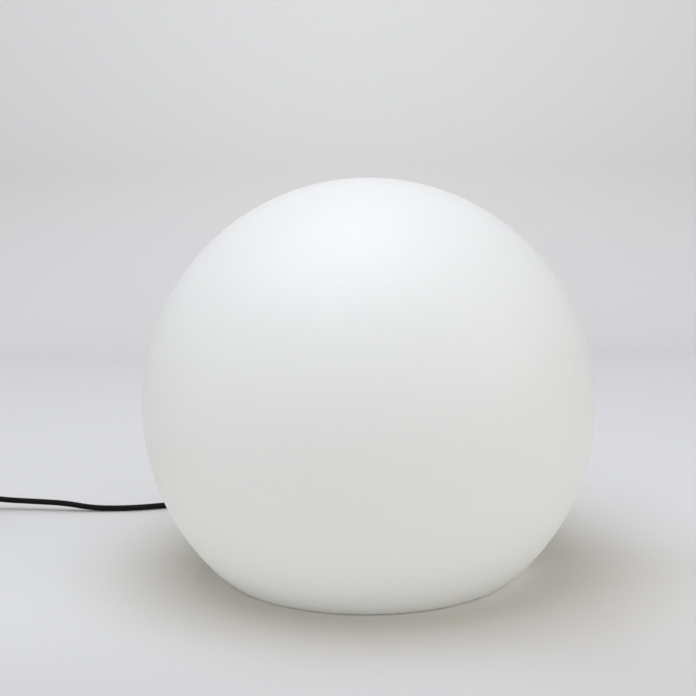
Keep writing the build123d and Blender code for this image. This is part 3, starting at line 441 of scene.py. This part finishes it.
# %% Finishes of the plastic pieces
make_finish(
    "globe_white", (0.884, 0.880, 0.850), (0.872, 0.868, 0.837), roughness=0.46, tone_scale=3.0,
    grain_scale=420.0, grain_depth=0.00004, roughness_change=0.08, Subsurface_Weight=0.25,
    Subsurface_Radius=(1.0, 0.95, 0.85), Subsurface_Scale=0.008, IOR=1.5,
)
make_finish(
    "base_plastic", (0.020, 0.020, 0.021), (0.031, 0.031, 0.031), roughness=0.5,
    grain_scale=1500.0, grain_depth=0.00009, edge_tone=(0.085, 0.085, 0.084), dust_amount=0.06,
)
make_finish(
    "pillar_plastic", (0.80, 0.80, 0.78), (0.76, 0.76, 0.735), roughness=0.38,
    grain_scale=1200.0, edge_tone=(0.86, 0.86, 0.85), dust_amount=0.04, Subsurface_Weight=0.1,
    Subsurface_Scale=0.002,
)
make_finish(
    "holder_plastic", (0.014, 0.014, 0.015), (0.021, 0.021, 0.021), roughness=0.3,
    grain_scale=1300.0, edge_tone=(0.07, 0.07, 0.07), edge_width=0.0004,
)
make_finish(
    "gland_plastic", (0.022, 0.022, 0.023), (0.030, 0.030, 0.030), roughness=0.45,
    grain_scale=1800.0, edge_tone=(0.10, 0.10, 0.10), edge_width=0.0004, dust_amount=0.06,
)
make_finish(
    "terminal_plastic", (0.80, 0.78, 0.70), (0.74, 0.72, 0.63), roughness=0.35,
    grain_scale=1400.0, edge_tone=(0.86, 0.85, 0.80), Subsurface_Weight=0.3,
    Subsurface_Scale=0.0015,
)

# %% [markdown]
# ## Rubber
# The cable's sheath and the plug are black rubber, which hardly shines and holds a little dust, so
# their specular level is set low. The feet and the gasket are greyer and duller, and the bulb's
# seal is a smoother rubber.

# %% Finishes of the rubber pieces
make_finish(
    "cable_rubber", (0.006, 0.0065, 0.0065), (0.010, 0.0105, 0.0105), roughness=0.55,
    tone_scale=40.0, grain_scale=2600.0, grain_depth=0.00008, roughness_change=0.25,
    dust_amount=0.02, Specular_IOR_Level=0.07,
)
make_finish(
    "plug_rubber", (0.013, 0.013, 0.014), (0.019, 0.019, 0.019), roughness=0.6,
    tone_scale=90.0, grain_scale=2200.0, grain_depth=0.00012, edge_tone=(0.07, 0.07, 0.07),
    edge_width=0.0005, dust_amount=0.05, Specular_IOR_Level=0.35,
)
make_finish(
    "foot_rubber", (0.030, 0.030, 0.030), (0.046, 0.045, 0.043), roughness=0.75,
    grain_scale=1600.0, grain_depth=0.00014, edge_tone=(0.11, 0.11, 0.10),
)
make_finish(
    "gasket_rubber", (0.020, 0.020, 0.020), (0.026, 0.026, 0.026), roughness=0.66,
    grain_scale=1900.0, dust_amount=0.06, Specular_IOR_Level=0.35,
)
make_finish(
    "seal_rubber", (0.032, 0.032, 0.033), (0.042, 0.042, 0.042), roughness=0.48,
    grain_scale=2200.0, dust_amount=0.05,
)

# %% [markdown]
# ## Metals, ceramic and the bulb
# Screws are stainless steel with drawn lines, contacts are brass that has dulled a little, and the
# bulb's cap is nickel-plated sheet. The ceramic insert is glazed, so it has a clear coat over a
# white body. The bulb's housing is white plastic over aluminium, and its frosted dome scatters
# light in its wall.

# %% Finishes of the metal pieces
make_finish(
    "steel_screw", (0.58, 0.58, 0.57), (0.50, 0.50, 0.49), roughness=0.3, metallic=1.0,
    tone_scale=220.0, edge_tone=(0.72, 0.72, 0.72), edge_width=0.0002, lines=True,
    grain_depth=0.00002,
)
make_finish(
    "contact_brass", (0.71, 0.53, 0.25), (0.55, 0.39, 0.18), roughness=0.32, metallic=1.0,
    tone_scale=150.0, edge_tone=(0.83, 0.68, 0.38), edge_width=0.0002, lines=True,
    grain_depth=0.00002,
)
make_finish(
    "nickel_sheet", (0.70, 0.68, 0.64), (0.62, 0.60, 0.56), roughness=0.24, metallic=1.0,
    tone_scale=90.0, edge_tone=(0.80, 0.79, 0.76), edge_width=0.0002, lines=True,
    grain_depth=0.00001,
)
make_finish(
    "solder_tin", (0.60, 0.60, 0.61), (0.48, 0.48, 0.49), roughness=0.42, metallic=1.0,
    tone_scale=700.0, contrast=2.5, grain_scale=1500.0, grain_depth=0.0001,
)
make_finish(
    "pin_nickel", (0.74, 0.73, 0.70), (0.66, 0.65, 0.62), roughness=0.2, metallic=1.0,
    tone_scale=180.0, lines=True, grain_depth=0.00001,
)

# %% Finishes of the ceramic, the cap's glass and the wires
make_finish(
    "ceramic", (0.84, 0.83, 0.78), (0.78, 0.765, 0.71), roughness=0.4, grain_scale=700.0,
    grain_depth=0.00003, edge_tone=(0.90, 0.89, 0.86), Coat_Weight=0.8, Coat_Roughness=0.12,
)
make_finish(
    "cap_glass", (0.012, 0.012, 0.016), (0.022, 0.021, 0.026), roughness=0.16,
    grain_scale=500.0, grain_depth=0.00004, Coat_Weight=0.5, Coat_Roughness=0.06,
)
make_finish(
    "wire_brown", (0.155, 0.058, 0.022), (0.120, 0.044, 0.017), roughness=0.34,
    grain_scale=2400.0, tone_scale=120.0,
)
make_finish(
    "wire_blue", (0.022, 0.090, 0.360), (0.018, 0.072, 0.290), roughness=0.34,
    grain_scale=2400.0, tone_scale=120.0,
)

# %% Finishes of the bulb
make_finish(
    "bulb_plastic", (0.85, 0.85, 0.84), (0.82, 0.82, 0.805), roughness=0.3,
    grain_scale=1600.0, edge_tone=(0.88, 0.88, 0.88), Coat_Weight=0.2, Coat_Roughness=0.2,
)
make_finish(
    "bulb_diffuser", (0.88, 0.88, 0.865), (0.86, 0.86, 0.84), roughness=0.5,
    grain_scale=2000.0, grain_depth=0.00003, Subsurface_Weight=0.5,
    Subsurface_Radius=(1.0, 0.95, 0.85), Subsurface_Scale=0.003,
)
make_finish(
    "board_white", (0.84, 0.85, 0.84), (0.80, 0.81, 0.80), roughness=0.3,
    grain_scale=1800.0, Coat_Weight=0.3,
)
make_finish(
    "board_green", (0.020, 0.150, 0.060), (0.030, 0.190, 0.085), roughness=0.35,
    grain_scale=900.0, tone_scale=300.0, Coat_Weight=0.4,
)
make_finish(
    "led_phosphor", (0.80, 0.60, 0.10), (0.72, 0.52, 0.07), roughness=0.4,
    grain_scale=3000.0, tone_scale=500.0, Coat_Weight=0.5,
)
print("finishes", len(finishes))

# %% Each solid gets the finish that the record names for it
for solid in nodes.values():
    slot = solid.data.materials[0].name
    solid.material_slots[0].material = finishes[slot]
cord_curve.materials.append(finishes["cable_rubber"])
print("solids with a finish", len(nodes))

# %% [markdown]
# ## The screws
# The lamp is held together by machine screws, which show when the globe is lifted off and from
# below. A screw is the same few shapes each time: a domed head with a cross recess, a core, and a
# thread that winds round it. That is work for Geometry Nodes: one tree with the screw's sizes as
# named inputs, placed round a circle by a count. Each screw is turned by its own fixed random
# angle, because no one lines up the slots.


# %% Short words for common geometry nodes
def moved(tree, geometry, **inputs):
    """The geometry moved by a Translation, or turned by a Rotation."""
    return add_node(tree, "GeometryNodeTransform", {"Geometry": geometry, **inputs}).outputs[0]


def joined(tree, pieces):
    """Several pieces as one geometry."""
    join = add_node(tree, "GeometryNodeJoinGeometry")
    for piece in pieces:
        tree.links.new(piece, join.inputs[0])
    return join.outputs[0]


def swept(tree, line, section, **inputs):
    """A mesh with this section along a line."""
    curves = {"Curve": line, "Profile Curve": section}
    return add_node(tree, "GeometryNodeCurveToMesh", {**curves, **inputs}).outputs["Mesh"]


def end_tree(tree, geometry, material, result):
    """Turns copies into real geometry and gives it its material."""
    real = add_node(tree, "GeometryNodeRealizeInstances", {0: geometry}).outputs[0]
    dressed = {"Geometry": real, "Material": material}
    coated = add_node(tree, "GeometryNodeSetMaterial", dressed).outputs[0]
    tree.links.new(coated, result["Geometry"])


# %% The screw's head
rim_power = 3.0  # keeps the head's side straight until near its top
rim_draw = 1.8  # how strongly the rim is drawn in there
dome_fall = 0.3  # how far the dome falls to its rim, in head heights
slot_length_share = 1.15  # of the head's radius
slot_block_height = 1.2  # in head heights, half of it above the top


def screw_head(tree, given):
    """A cylinder with its rim drawn in and its top domed, and two crossed slots cut into it."""
    radius, height = given["Head Radius"], given["Head Height"]
    blank = add_node(tree, "GeometryNodeMeshCylinder", {
        "Vertices": 40, "Side Segments": 6, "Fill Segments": 4, "Radius": radius, "Depth": height,
    }).outputs["Mesh"]
    position = add_node(tree, "GeometryNodeInputPosition").outputs[0]
    x, y, z = add_node(tree, "ShaderNodeSeparateXYZ", {0: position}).outputs
    rise = number(tree, "MAXIMUM", number(tree, "DIVIDE", z, height), 0.0)
    drawn_in = number(tree, "MULTIPLY", number(tree, "POWER", rise, rim_power), rim_draw)
    narrow = number(tree, "SUBTRACT", 1.0, drawn_in)
    out = add_node(
        tree, "ShaderNodeVectorMath", {0: vector(tree, X=x, Y=y)}, operation="LENGTH"
    ).outputs["Value"]
    share = number(tree, "DIVIDE", out, radius)
    sink = number(tree, "MULTIPLY", number(tree, "MULTIPLY", share, share), rise)
    fall = number(tree, "MULTIPLY", number(tree, "MULTIPLY", sink, height), -dome_fall)
    half_height = number(tree, "MULTIPLY", height, 0.5)
    shaped = vector(
        tree,
        X=number(tree, "MULTIPLY", x, narrow),
        Y=number(tree, "MULTIPLY", y, narrow),
        Z=number(tree, "ADD", number(tree, "ADD", z, fall), half_height),
    )
    head = add_node(
        tree, "GeometryNodeSetPosition", {"Geometry": blank, "Position": shaped}
    ).outputs["Geometry"]
    cut = add_node(
        tree, "GeometryNodeMeshBoolean", {"Mesh 1": head}, operation="DIFFERENCE", solver="EXACT"
    )
    long_side = number(tree, "MULTIPLY", radius, slot_length_share)
    tall_side = number(tree, "MULTIPLY", height, slot_block_height)
    for x, y in ((long_side, given["Slot Width"]), (given["Slot Width"], long_side)):
        size = vector(tree, X=x, Y=y, Z=tall_side)
        block = add_node(tree, "GeometryNodeMeshCube", {"Size": size}).outputs["Mesh"]
        slot = moved(tree, block, Translation=vector(tree, Z=height))
        tree.links.new(slot, cut.inputs["Mesh 2"])
    return cut.outputs["Mesh"]


# %% The screw's shank
core_share = 0.86  # of the shank's radius
ridge_share = 0.13  # of the shank's radius
wound_share = 0.94  # how much of the shank is threaded
thread_drop = -1.02  # how far the thread goes down from the head, in its own lengths


def screw_shank(tree, given):
    """A core below the head with a ridge wound round it at the thread's pitch."""
    radius, length = given["Shank Radius"], given["Shank Length"]
    core_radius = number(tree, "MULTIPLY", radius, core_share)
    core = add_node(tree, "GeometryNodeMeshCylinder", {
        "Vertices": 24, "Radius": core_radius, "Depth": length,
    }).outputs["Mesh"]
    down = number(tree, "MULTIPLY", length, -1.0)
    middle = vector(tree, Z=number(tree, "MULTIPLY", down, 0.5))
    core = moved(tree, core, Translation=middle)
    wound = number(tree, "MULTIPLY", length, wound_share)
    climb = add_node(tree, "GeometryNodeCurveSpiral", {
        "Resolution": 20, "Rotations": number(tree, "DIVIDE", wound, given["Thread Pitch"]),
        "Start Radius": core_radius, "End Radius": core_radius, "Height": wound,
    }).outputs["Curve"]
    ridge = add_node(tree, "GeometryNodeCurvePrimitiveCircle", {
        "Resolution": 4, "Radius": number(tree, "MULTIPLY", radius, ridge_share),
    }).outputs["Curve"]
    thread = swept(tree, climb, ridge, **{"Fill Caps": True})
    sunk = vector(tree, Z=number(tree, "MULTIPLY", wound, thread_drop))
    return core, moved(tree, thread, Translation=sunk)


# %% The whole screw tree
def ring_points(tree, given):
    """The screws' places: evenly round a circle, from a first angle on."""
    index = add_node(tree, "GeometryNodeInputIndex").outputs[0]
    turn = number(tree, "MULTIPLY", number(tree, "DIVIDE", index, given["Count"]), 2 * math.pi)
    angle = number(tree, "ADD", turn, given["First Angle"])
    ring = vector(
        tree,
        X=number(tree, "MULTIPLY", given["Circle Radius"], number(tree, "COSINE", angle)),
        Y=number(tree, "MULTIPLY", given["Circle Radius"], number(tree, "SINE", angle)),
    )
    spot = add_node(
        tree, "ShaderNodeVectorMath", {0: ring, 1: given["Seat"]}, operation="ADD"
    ).outputs[0]
    points = {"Count": given["Count"], "Position": spot}
    return add_node(tree, "GeometryNodePoints", points).outputs[0]


def make_screw_tree(material):
    """One screw, copied round a circle, each copy with its own turn."""
    tree, given, result = new_group("machine_screws", "GeometryNodeTree", {
        "Head Radius": 0.0029, "Head Height": 0.002, "Slot Width": 0.001,
        "Shank Radius": 0.0015, "Shank Length": 0.009, "Thread Pitch": 0.0005,
        "Count": 4, "Circle Radius": 0.0, "First Angle": 0.0,
        "Seat": (0, 0, 0), "Upside Down": 0.0, "Seed": 5,
    }, ["Geometry"])
    screw = joined(tree, (screw_head(tree, given), *screw_shank(tree, given)))
    points = ring_points(tree, given)
    spin = add_node(
        tree, "FunctionNodeRandomValue", {"Min": 0.0, "Max": math.pi, "Seed": given["Seed"]},
        data_type="FLOAT",
    )
    spin_value = next(socket for socket in spin.outputs if socket.enabled)
    facing = vector(tree, X=given["Upside Down"], Z=spin_value)
    turned = add_node(tree, "FunctionNodeEulerToRotation", {0: facing}).outputs[0]
    copies = add_node(tree, "GeometryNodeInstanceOnPoints", {
        "Points": points, "Instance": screw, "Rotation": turned,
    }).outputs[0]
    end_tree(tree, copies, material, result)
    return tree


screw_tree = make_screw_tree(finishes["steel_screw"])
print("screw tree nodes", len(screw_tree.nodes))


# %% A tree's result as a plain mesh
def grow(name, tree, values):
    """Runs a Geometry Nodes tree with these inputs and keeps the result as a plain mesh."""
    seed_mesh = bpy.data.meshes.new(name)
    piece = bpy.data.objects.new(name, seed_mesh)
    bpy.context.scene.collection.objects.link(piece)
    modifier = piece.modifiers.new("nodes", "NODES")
    modifier.node_group = tree
    for item in tree.interface.items_tree:
        if item.item_type == "SOCKET" and item.in_out == "INPUT" and item.name in values:
            modifier[item.identifier] = values[item.name]
    evaluated = piece.evaluated_get(bpy.context.evaluated_depsgraph_get())
    mesh = bpy.data.meshes.new_from_object(evaluated)
    piece.modifiers.remove(modifier)
    piece.data = mesh
    mesh.name = name
    bpy.data.meshes.remove(seed_mesh)
    print(name, "faces", len(mesh.polygons))
    return piece


def smooth_by_angle(piece, degrees=35):
    """Smooth shading that stops at edges sharper than this."""
    piece.data.shade_smooth()
    piece.data.set_sharp_from_angle(angle=math.radians(degrees))


# %% [markdown]
# ## Where the screws go
# Each set of screws takes its place and its length from the solids that stand for it in the frame.
# The cover's four larger screws point up into the globe from below, so they are turned over. The
# others point down.

# %% The five sets of screws
large_screw = {
    "Head Radius": 0.004, "Head Height": 0.0026, "Shank Radius": 0.002, "Thread Pitch": 0.0007,
}
small_screw = {
    "Head Radius": 0.0029, "Head Height": 0.002, "Shank Radius": 0.0015, "Thread Pitch": 0.0005,
}
# The set's node, its screw, how many there are, the seed of their turns, and the first one's angle.
screw_sets = [
    ("cover_screws", large_screw, 4, 3, math.pi / 4),
    ("pillar_screws", small_screw, 4, 8, math.pi / 4),
    ("holder_fixing_screws", small_screw, 2, 4, math.pi / 2),
    ("holder_terminal_screws", small_screw, 2, 11, 0.0),
    ("terminal_fixing_screw", small_screw, 1, 2, 0.0),
]
for node_name, sizes, count, seed, first_angle in screw_sets:
    low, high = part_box(node_name)
    middle = (low + high) / 2
    half_width = (high - low) / 2
    head_height = sizes["Head Height"]
    flipped = node_name == "cover_screws"
    seat_height = low.z + head_height if flipped else high.z - head_height
    reach = max(half_width.x, half_width.y) - sizes["Head Radius"]
    if count == 4:
        reach *= math.sqrt(2)  # four screws stand at the corners of a square
    screws = grow(node_name + "_threaded", screw_tree, {
        **sizes,
        "Shank Length": high.z - low.z - head_height,
        "Count": count,
        "Circle Radius": reach,
        "First Angle": first_angle,
        "Seat": (middle.x, middle.y, seat_height),
        "Upside Down": math.pi if flipped else 0.0,
        "Seed": seed,
    })
    smooth_by_angle(screws)
    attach(screws, "lamp_base")
    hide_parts(node_name)

# %% [markdown]
# ## The tie round the coil
# A coil that is put away is held by a tie, or its turns would spring apart. It is a flat rubber
# strap that goes once round the bundle and laps over itself. A rectangle with rounded corners,
# swept with a thin section, gives it.


# %% The tie's tree
def rounded_rectangle(tree, width, height, corner, count, limited=False):
    """A closed curve of four sides, with so many points in each corner."""
    sides = {"Width": width, "Height": height}
    outline = add_node(tree, "GeometryNodeCurvePrimitiveQuadrilateral", sides).outputs[0]
    return add_node(tree, "GeometryNodeFilletCurve", {
        "Curve": outline, "Count": count, "Radius": corner, "Limit Radius": limited,
    }, mode="POLY").outputs[0]


edge_rounding = 0.4  # of the strap's thickness
lap_offset = 0.3  # how far the lapped end lies to one side, in its own lengths


def make_tie_tree(material):
    """A strap swept round a rounded rectangle, with its end lapped over it on top."""
    tree, given, result = new_group("coil_strap", "GeometryNodeTree", {
        "Bundle Width": 0.03, "Bundle Height": 0.03, "Corner": 0.004,
        "Strap Width": 0.011, "Strap Thickness": 0.0009, "Lap Length": 0.013, "Lap Corner": 0.003,
        "Middle": (0, 0, 0), "Turn": (0, 0, 0),
    }, ["Geometry"])
    width, thickness = given["Strap Width"], given["Strap Thickness"]
    bundle_height = given["Bundle Height"]
    loop = rounded_rectangle(
        tree, given["Bundle Width"], bundle_height, given["Corner"], count=10, limited=True
    )
    section_corner = number(tree, "MULTIPLY", thickness, edge_rounding)
    section = rounded_rectangle(tree, thickness, width, section_corner, count=3)
    strap = moved(tree, swept(tree, loop, section), Rotation=(math.pi / 2, 0, 0))

    lap = rounded_rectangle(tree, given["Lap Length"], width, given["Lap Corner"], count=8)
    lap_rise = {"End": vector(tree, Z=thickness)}
    lap_line = add_node(tree, "GeometryNodeCurvePrimitiveLine", lap_rise).outputs[0]
    tongue = swept(tree, lap_line, lap, **{"Fill Caps": True})
    top = number(tree, "MULTIPLY", number(tree, "ADD", bundle_height, thickness), 0.5)
    aside = number(tree, "MULTIPLY", given["Lap Length"], lap_offset)
    tongue = moved(tree, tongue, Translation=vector(tree, X=aside, Z=top))

    both = joined(tree, (strap, tongue))
    placed = moved(tree, both, Translation=given["Middle"], Rotation=given["Turn"])
    end_tree(tree, placed, material, result)
    return tree


# %% The coil's tie
inner_reach = min(reach for reach, height in crossings) - cord_radius
outer_reach = max(reach for reach, height in crossings) + cord_radius
bundle_height = coil_top + cord_radius
tie_slack = 0.001
tie_thickness = 0.0009
tie_angle = math.radians(-90)  # at the coil's front
tie_reach = (inner_reach + outer_reach) / 2
tie = grow("coil_tie", make_tie_tree(finishes["plug_rubber"]), {
    "Bundle Width": outer_reach - inner_reach + tie_slack,
    "Bundle Height": bundle_height - tie_thickness / 2,
    "Strap Thickness": tie_thickness,
    "Corner": 0.0045,
    "Middle": coil_place(tie_reach, tie_angle, (bundle_height + tie_thickness) / 2),
    "Turn": (0, 0, tie_angle),
})
smooth_by_angle(tie)
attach(tie, "lamp_base")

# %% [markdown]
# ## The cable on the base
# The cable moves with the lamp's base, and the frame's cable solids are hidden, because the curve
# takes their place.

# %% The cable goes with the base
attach(cord, "lamp_base")
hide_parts("cord_run", "cord_coil", "cord_end")

# %% [markdown]
# ## The studio
# The light stands on a pale sweep of paper that runs back as a floor and curves up into the wall.
# It is one sheet, because any seam between a floor and a wall would draw a line behind the globe.
# Its faces point up and forwards, and from behind and from below it lets the view through, so that
# the object can be looked at from every side.
# The camera sees tones that change slowly over the sheet, a painted light falloff that leaves the
# floor darker at the front and the wall darker at its sides. Round the globe's foot a painted
# shadow darkens them by how far the globe shuts the paper in, with painted light where the foot
# meets the floor. Light that bounces off the paper has plainer tones.

# %% Where the paper's tones change
# Each pair is where a change starts and ends, in metres across (x), back (y) or up (z).
front_to_middle = (-0.40, -0.10)
middle_to_back = (0.0, 0.60)
centre_to_side = (0.0, 0.9)
floor_to_wall = (0.0, 0.30)
floor_to_wall_bounce = (0.40, 1.30)
# The lee spans and depth put more painted shadow on the paper's front right, the side away from the
# lamp.
lee_across = (0.05, 0.25)
lee_along = (0.15, -0.05)
painted_lee_shadow_depth = 0.12  # how much more shut in the paper counts as, on the side away from the lamp
shade_distance = 0.45  # how far off the globe still shuts the paper in


def blend_along(tree, value, span):
    """Rises smoothly from 0 to 1 while the value goes from the span's start to its end."""
    inputs = {"Value": value, "From Min": span[0], "From Max": span[1]}
    return add_node(
        tree, "ShaderNodeMapRange", inputs, interpolation_type="SMOOTHSTEP"
    ).outputs[0]


# %% The paper of the sweep
def paper_tone_with_painted_falloff(tree, x, y, z, tones):
    """The open paper's tone, with a painted light falloff that darkens the front of the floor and
    the sides of the wall.
    """
    floor = mixed(tree, blend_along(tree, y, front_to_middle), tones["front"], tones["middle"])
    floor = mixed(tree, blend_along(tree, y, middle_to_back), floor, tones["back"])
    aside = blend_along(tree, number(tree, "ABSOLUTE", x), centre_to_side)
    wall = mixed(tree, aside, tones["wall"], tones["wall_side"])
    return mixed(tree, blend_along(tree, z, floor_to_wall), floor, wall)


def painted_paper_shadow(tree, x, y, painted_shadow_and_glow_tones):
    """A painted shadow round the globe's foot, read off a colour ramp by how open the paper is."""
    open_share = add_node(
        tree, "ShaderNodeAmbientOcclusion", {"Distance": shade_distance}, samples=16
    ).outputs["AO"]
    # More painted shadow on the front right, away from the lamp.
    lee = number(
        tree, "MULTIPLY", blend_along(tree, x, lee_across), blend_along(tree, y, lee_along)
    )
    lee_share = number(tree, "MULTIPLY", lee, painted_lee_shadow_depth)
    # The ramp paints the shadow round the foot, and paints light where the foot meets the floor.
    painted_shade = add_node(tree, "ShaderNodeValToRGB", {
        0: number(tree, "SUBTRACT", open_share, lee_share),
    })
    ramp = painted_shade.color_ramp.elements
    foot, *between, open_floor = painted_shadow_and_glow_tones
    for stop, (position, colour) in ((ramp[0], foot), (ramp[1], open_floor)):
        stop.position, stop.color = position, (*colour, 1)
    for position, colour in between:
        ramp.new(position).color = (*colour, 1)
    return painted_shade.outputs[0]


def make_paper(tones, bounce_tones, painted_shadow_and_glow_tones):
    """Matt paper. The camera sees its tones with their painted falloff and painted shadow, and all
    other light meets the bounce tones.
    """
    material = bpy.data.materials.new("sweep_paper")
    material.use_nodes = True
    tree = material.node_tree
    x, y, z = add_node(tree, "ShaderNodeSeparateXYZ", {0: object_place(tree)}).outputs
    open_tone = paper_tone_with_painted_falloff(tree, x, y, z, tones)
    painted_shade = painted_paper_shadow(tree, x, y, painted_shadow_and_glow_tones)
    # The painted shadow darkens the tones that the camera sees.
    seen = mixed(tree, 1.0, open_tone, painted_shade, blend_type="MULTIPLY")
    bounce = mixed(
        tree, blend_along(tree, y, floor_to_wall_bounce), bounce_tones["floor"],
        bounce_tones["wall"],
    )
    camera_ray = add_node(tree, "ShaderNodeLightPath").outputs["Is Camera Ray"]
    principled = tree.nodes["Principled BSDF"]
    tree.links.new(mixed(tree, camera_ray, bounce, seen), principled.inputs["Base Color"])
    principled.inputs["Roughness"].default_value = 0.9
    principled.inputs["Specular IOR Level"].default_value = 0.2
    behind = add_node(tree, "ShaderNodeNewGeometry").outputs["Backfacing"]
    clear = add_node(tree, "ShaderNodeBsdfTransparent").outputs[0]
    sides = {0: behind, 1: principled.outputs[0], 2: clear}
    surface = add_node(tree, "ShaderNodeMixShader", sides).outputs[0]
    tree.links.new(surface, tree.nodes["Material Output"].inputs["Surface"])
    return material


# %% The paper's tones
# Painted light falloff: the floor is darker at the front, and the wall is lighter in the middle
# than at its sides.
sweep_tones_with_painted_falloff = {
    "front": (0.712, 0.703, 0.694),
    "middle": (0.805, 0.800, 0.788),
    "back": (0.803, 0.795, 0.794),
    "wall": (0.858, 0.853, 0.838),
    "wall_side": (0.767, 0.762, 0.752),
}
# The wall's bounce tone is darker than the tone the camera sees, painted shade that takes light off
# the globe's edges.
bounce_tones = {"floor": (0.87, 0.86, 0.82), "wall": (0.66, 0.655, 0.645)}
# Painted shadow and light by how open the paper is: painted light at the globe's foot, where light
# soaks through the globe's wall, over a darker, warmer painted shadow to the open floor.
painted_shadow_and_glow_tones = [
    (0.04, (1.65, 1.64, 1.50)),
    (0.12, (1.34, 1.33, 1.23)),
    (0.20, (1.02, 1.01, 0.955)),
    (0.28, (0.84, 0.825, 0.78)),
    (0.40, (0.78, 0.755, 0.685)),
    (0.60, (0.825, 0.81, 0.77)),
    (0.80, (0.955, 0.95, 0.945)),
    (1.0, (1, 1, 1)),
]
sweep_paper = make_paper(sweep_tones_with_painted_falloff, bounce_tones, painted_shadow_and_glow_tones)
print("paper nodes", len(sweep_paper.node_tree.nodes))

# %% The sweep
sweep_front = -8.0
sweep_start = 1.15  # where the floor starts to curve up
sweep_radius = 0.30
sweep_top = 4.0
sweep_half_width = 6.0
sweep_steps = 32

sweep_outline = [(sweep_front, 0.0), (0.0, 0.0)]
for step in range(sweep_steps + 1):
    angle = step / sweep_steps * math.pi / 2
    back = sweep_start + sweep_radius * math.sin(angle)
    sweep_outline.append((back, sweep_radius * (1 - math.cos(angle))))
sweep_outline.append((sweep_start + sweep_radius, sweep_top))
sweep_sides = (-sweep_half_width, sweep_half_width)
sweep_points = [(x, y, z) for y, z in sweep_outline for x in sweep_sides]
sweep_faces = [
    (2 * row, 2 * row + 1, 2 * row + 3, 2 * row + 2) for row in range(len(sweep_outline) - 1)
]
sweep_mesh = bpy.data.meshes.new("studio_sweep")
sweep_mesh.from_pydata(sweep_points, [], sweep_faces)
sweep_mesh.shade_smooth()
sweep_mesh.materials.append(sweep_paper)
sweep = bpy.data.objects.new("studio_sweep", sweep_mesh)
bpy.context.scene.collection.objects.link(sweep)
print("sweep faces", len(sweep_faces))

# %% [markdown]
# ## The light
# One large soft lamp hangs over the globe, a little to the left, and pale surroundings light it
# from all sides. That gives the globe its slow change from near white on top to light grey below,
# and leaves only a soft shadow round its foot, which the paper's painted shadow deepens. A weak
# lamp far out on the right keeps that side of the globe from turning grey. The level is plain: a
# colour comes out about as it is written.


# %% Lamps
def add_soft_lamp(name, *, place, target, width, power, colour):
    """A square area lamp aimed at a point."""
    data = bpy.data.lights.new(name, "AREA")
    data.size = width
    data.energy = power
    data.color = colour
    lamp = bpy.data.objects.new(name, data)
    bpy.context.scene.collection.objects.link(lamp)
    lamp.location = place
    aim = Vector(target) - Vector(place)
    lamp.rotation_euler = aim.to_track_quat("-Z", "Y").to_euler()
    print(name, "at", round(aim.length, 2), "m from what it lights")


add_soft_lamp(
    "overhead_lamp", place=(-0.28, -0.16, 1.95), target=(0, 0, 0.1), width=1.6, power=14.0,
    colour=(0.90, 0.95, 1.05),
)
add_soft_lamp(
    "right_fill", place=(1.4, -0.5, 0.9), target=(0, 0, 0.2), width=0.8, power=1.8,
    colour=(1.0, 0.99, 0.96),
)

# %% [markdown]
# ## The surroundings
# The world gives the even light that comes from all sides. Where the camera or a shiny surface
# looks past the paper, it sees a plain grey in its place.

# %% Surroundings
surround_colour = (0.967, 0.970, 0.995, 1)
surround_strength = 0.743
backdrop_colour = (0.68, 0.68, 0.68, 1)

world = bpy.data.worlds.new("studio_air")
bpy.context.scene.world = world
world.use_nodes = True
air = world.node_tree
surround = air.nodes["Background"]
surround.inputs["Color"].default_value = surround_colour
surround.inputs["Strength"].default_value = surround_strength
backdrop = add_node(air, "ShaderNodeBackground", {"Color": backdrop_colour, "Strength": 1.0})
ray = add_node(air, "ShaderNodeLightPath").outputs
seen = ray["Is Camera Ray"]
for other_ray in ("Is Glossy Ray", "Is Transmission Ray"):
    seen = number(air, "MAXIMUM", seen, ray[other_ray])
shown = {0: seen, 1: surround.outputs[0], 2: backdrop.outputs[0]}
either = add_node(air, "ShaderNodeMixShader", shown).outputs[0]
air.links.new(either, air.nodes["World Output"].inputs["Surface"])
bpy.context.scene.view_settings.view_transform = "Standard"
print("world nodes", len(air.nodes))
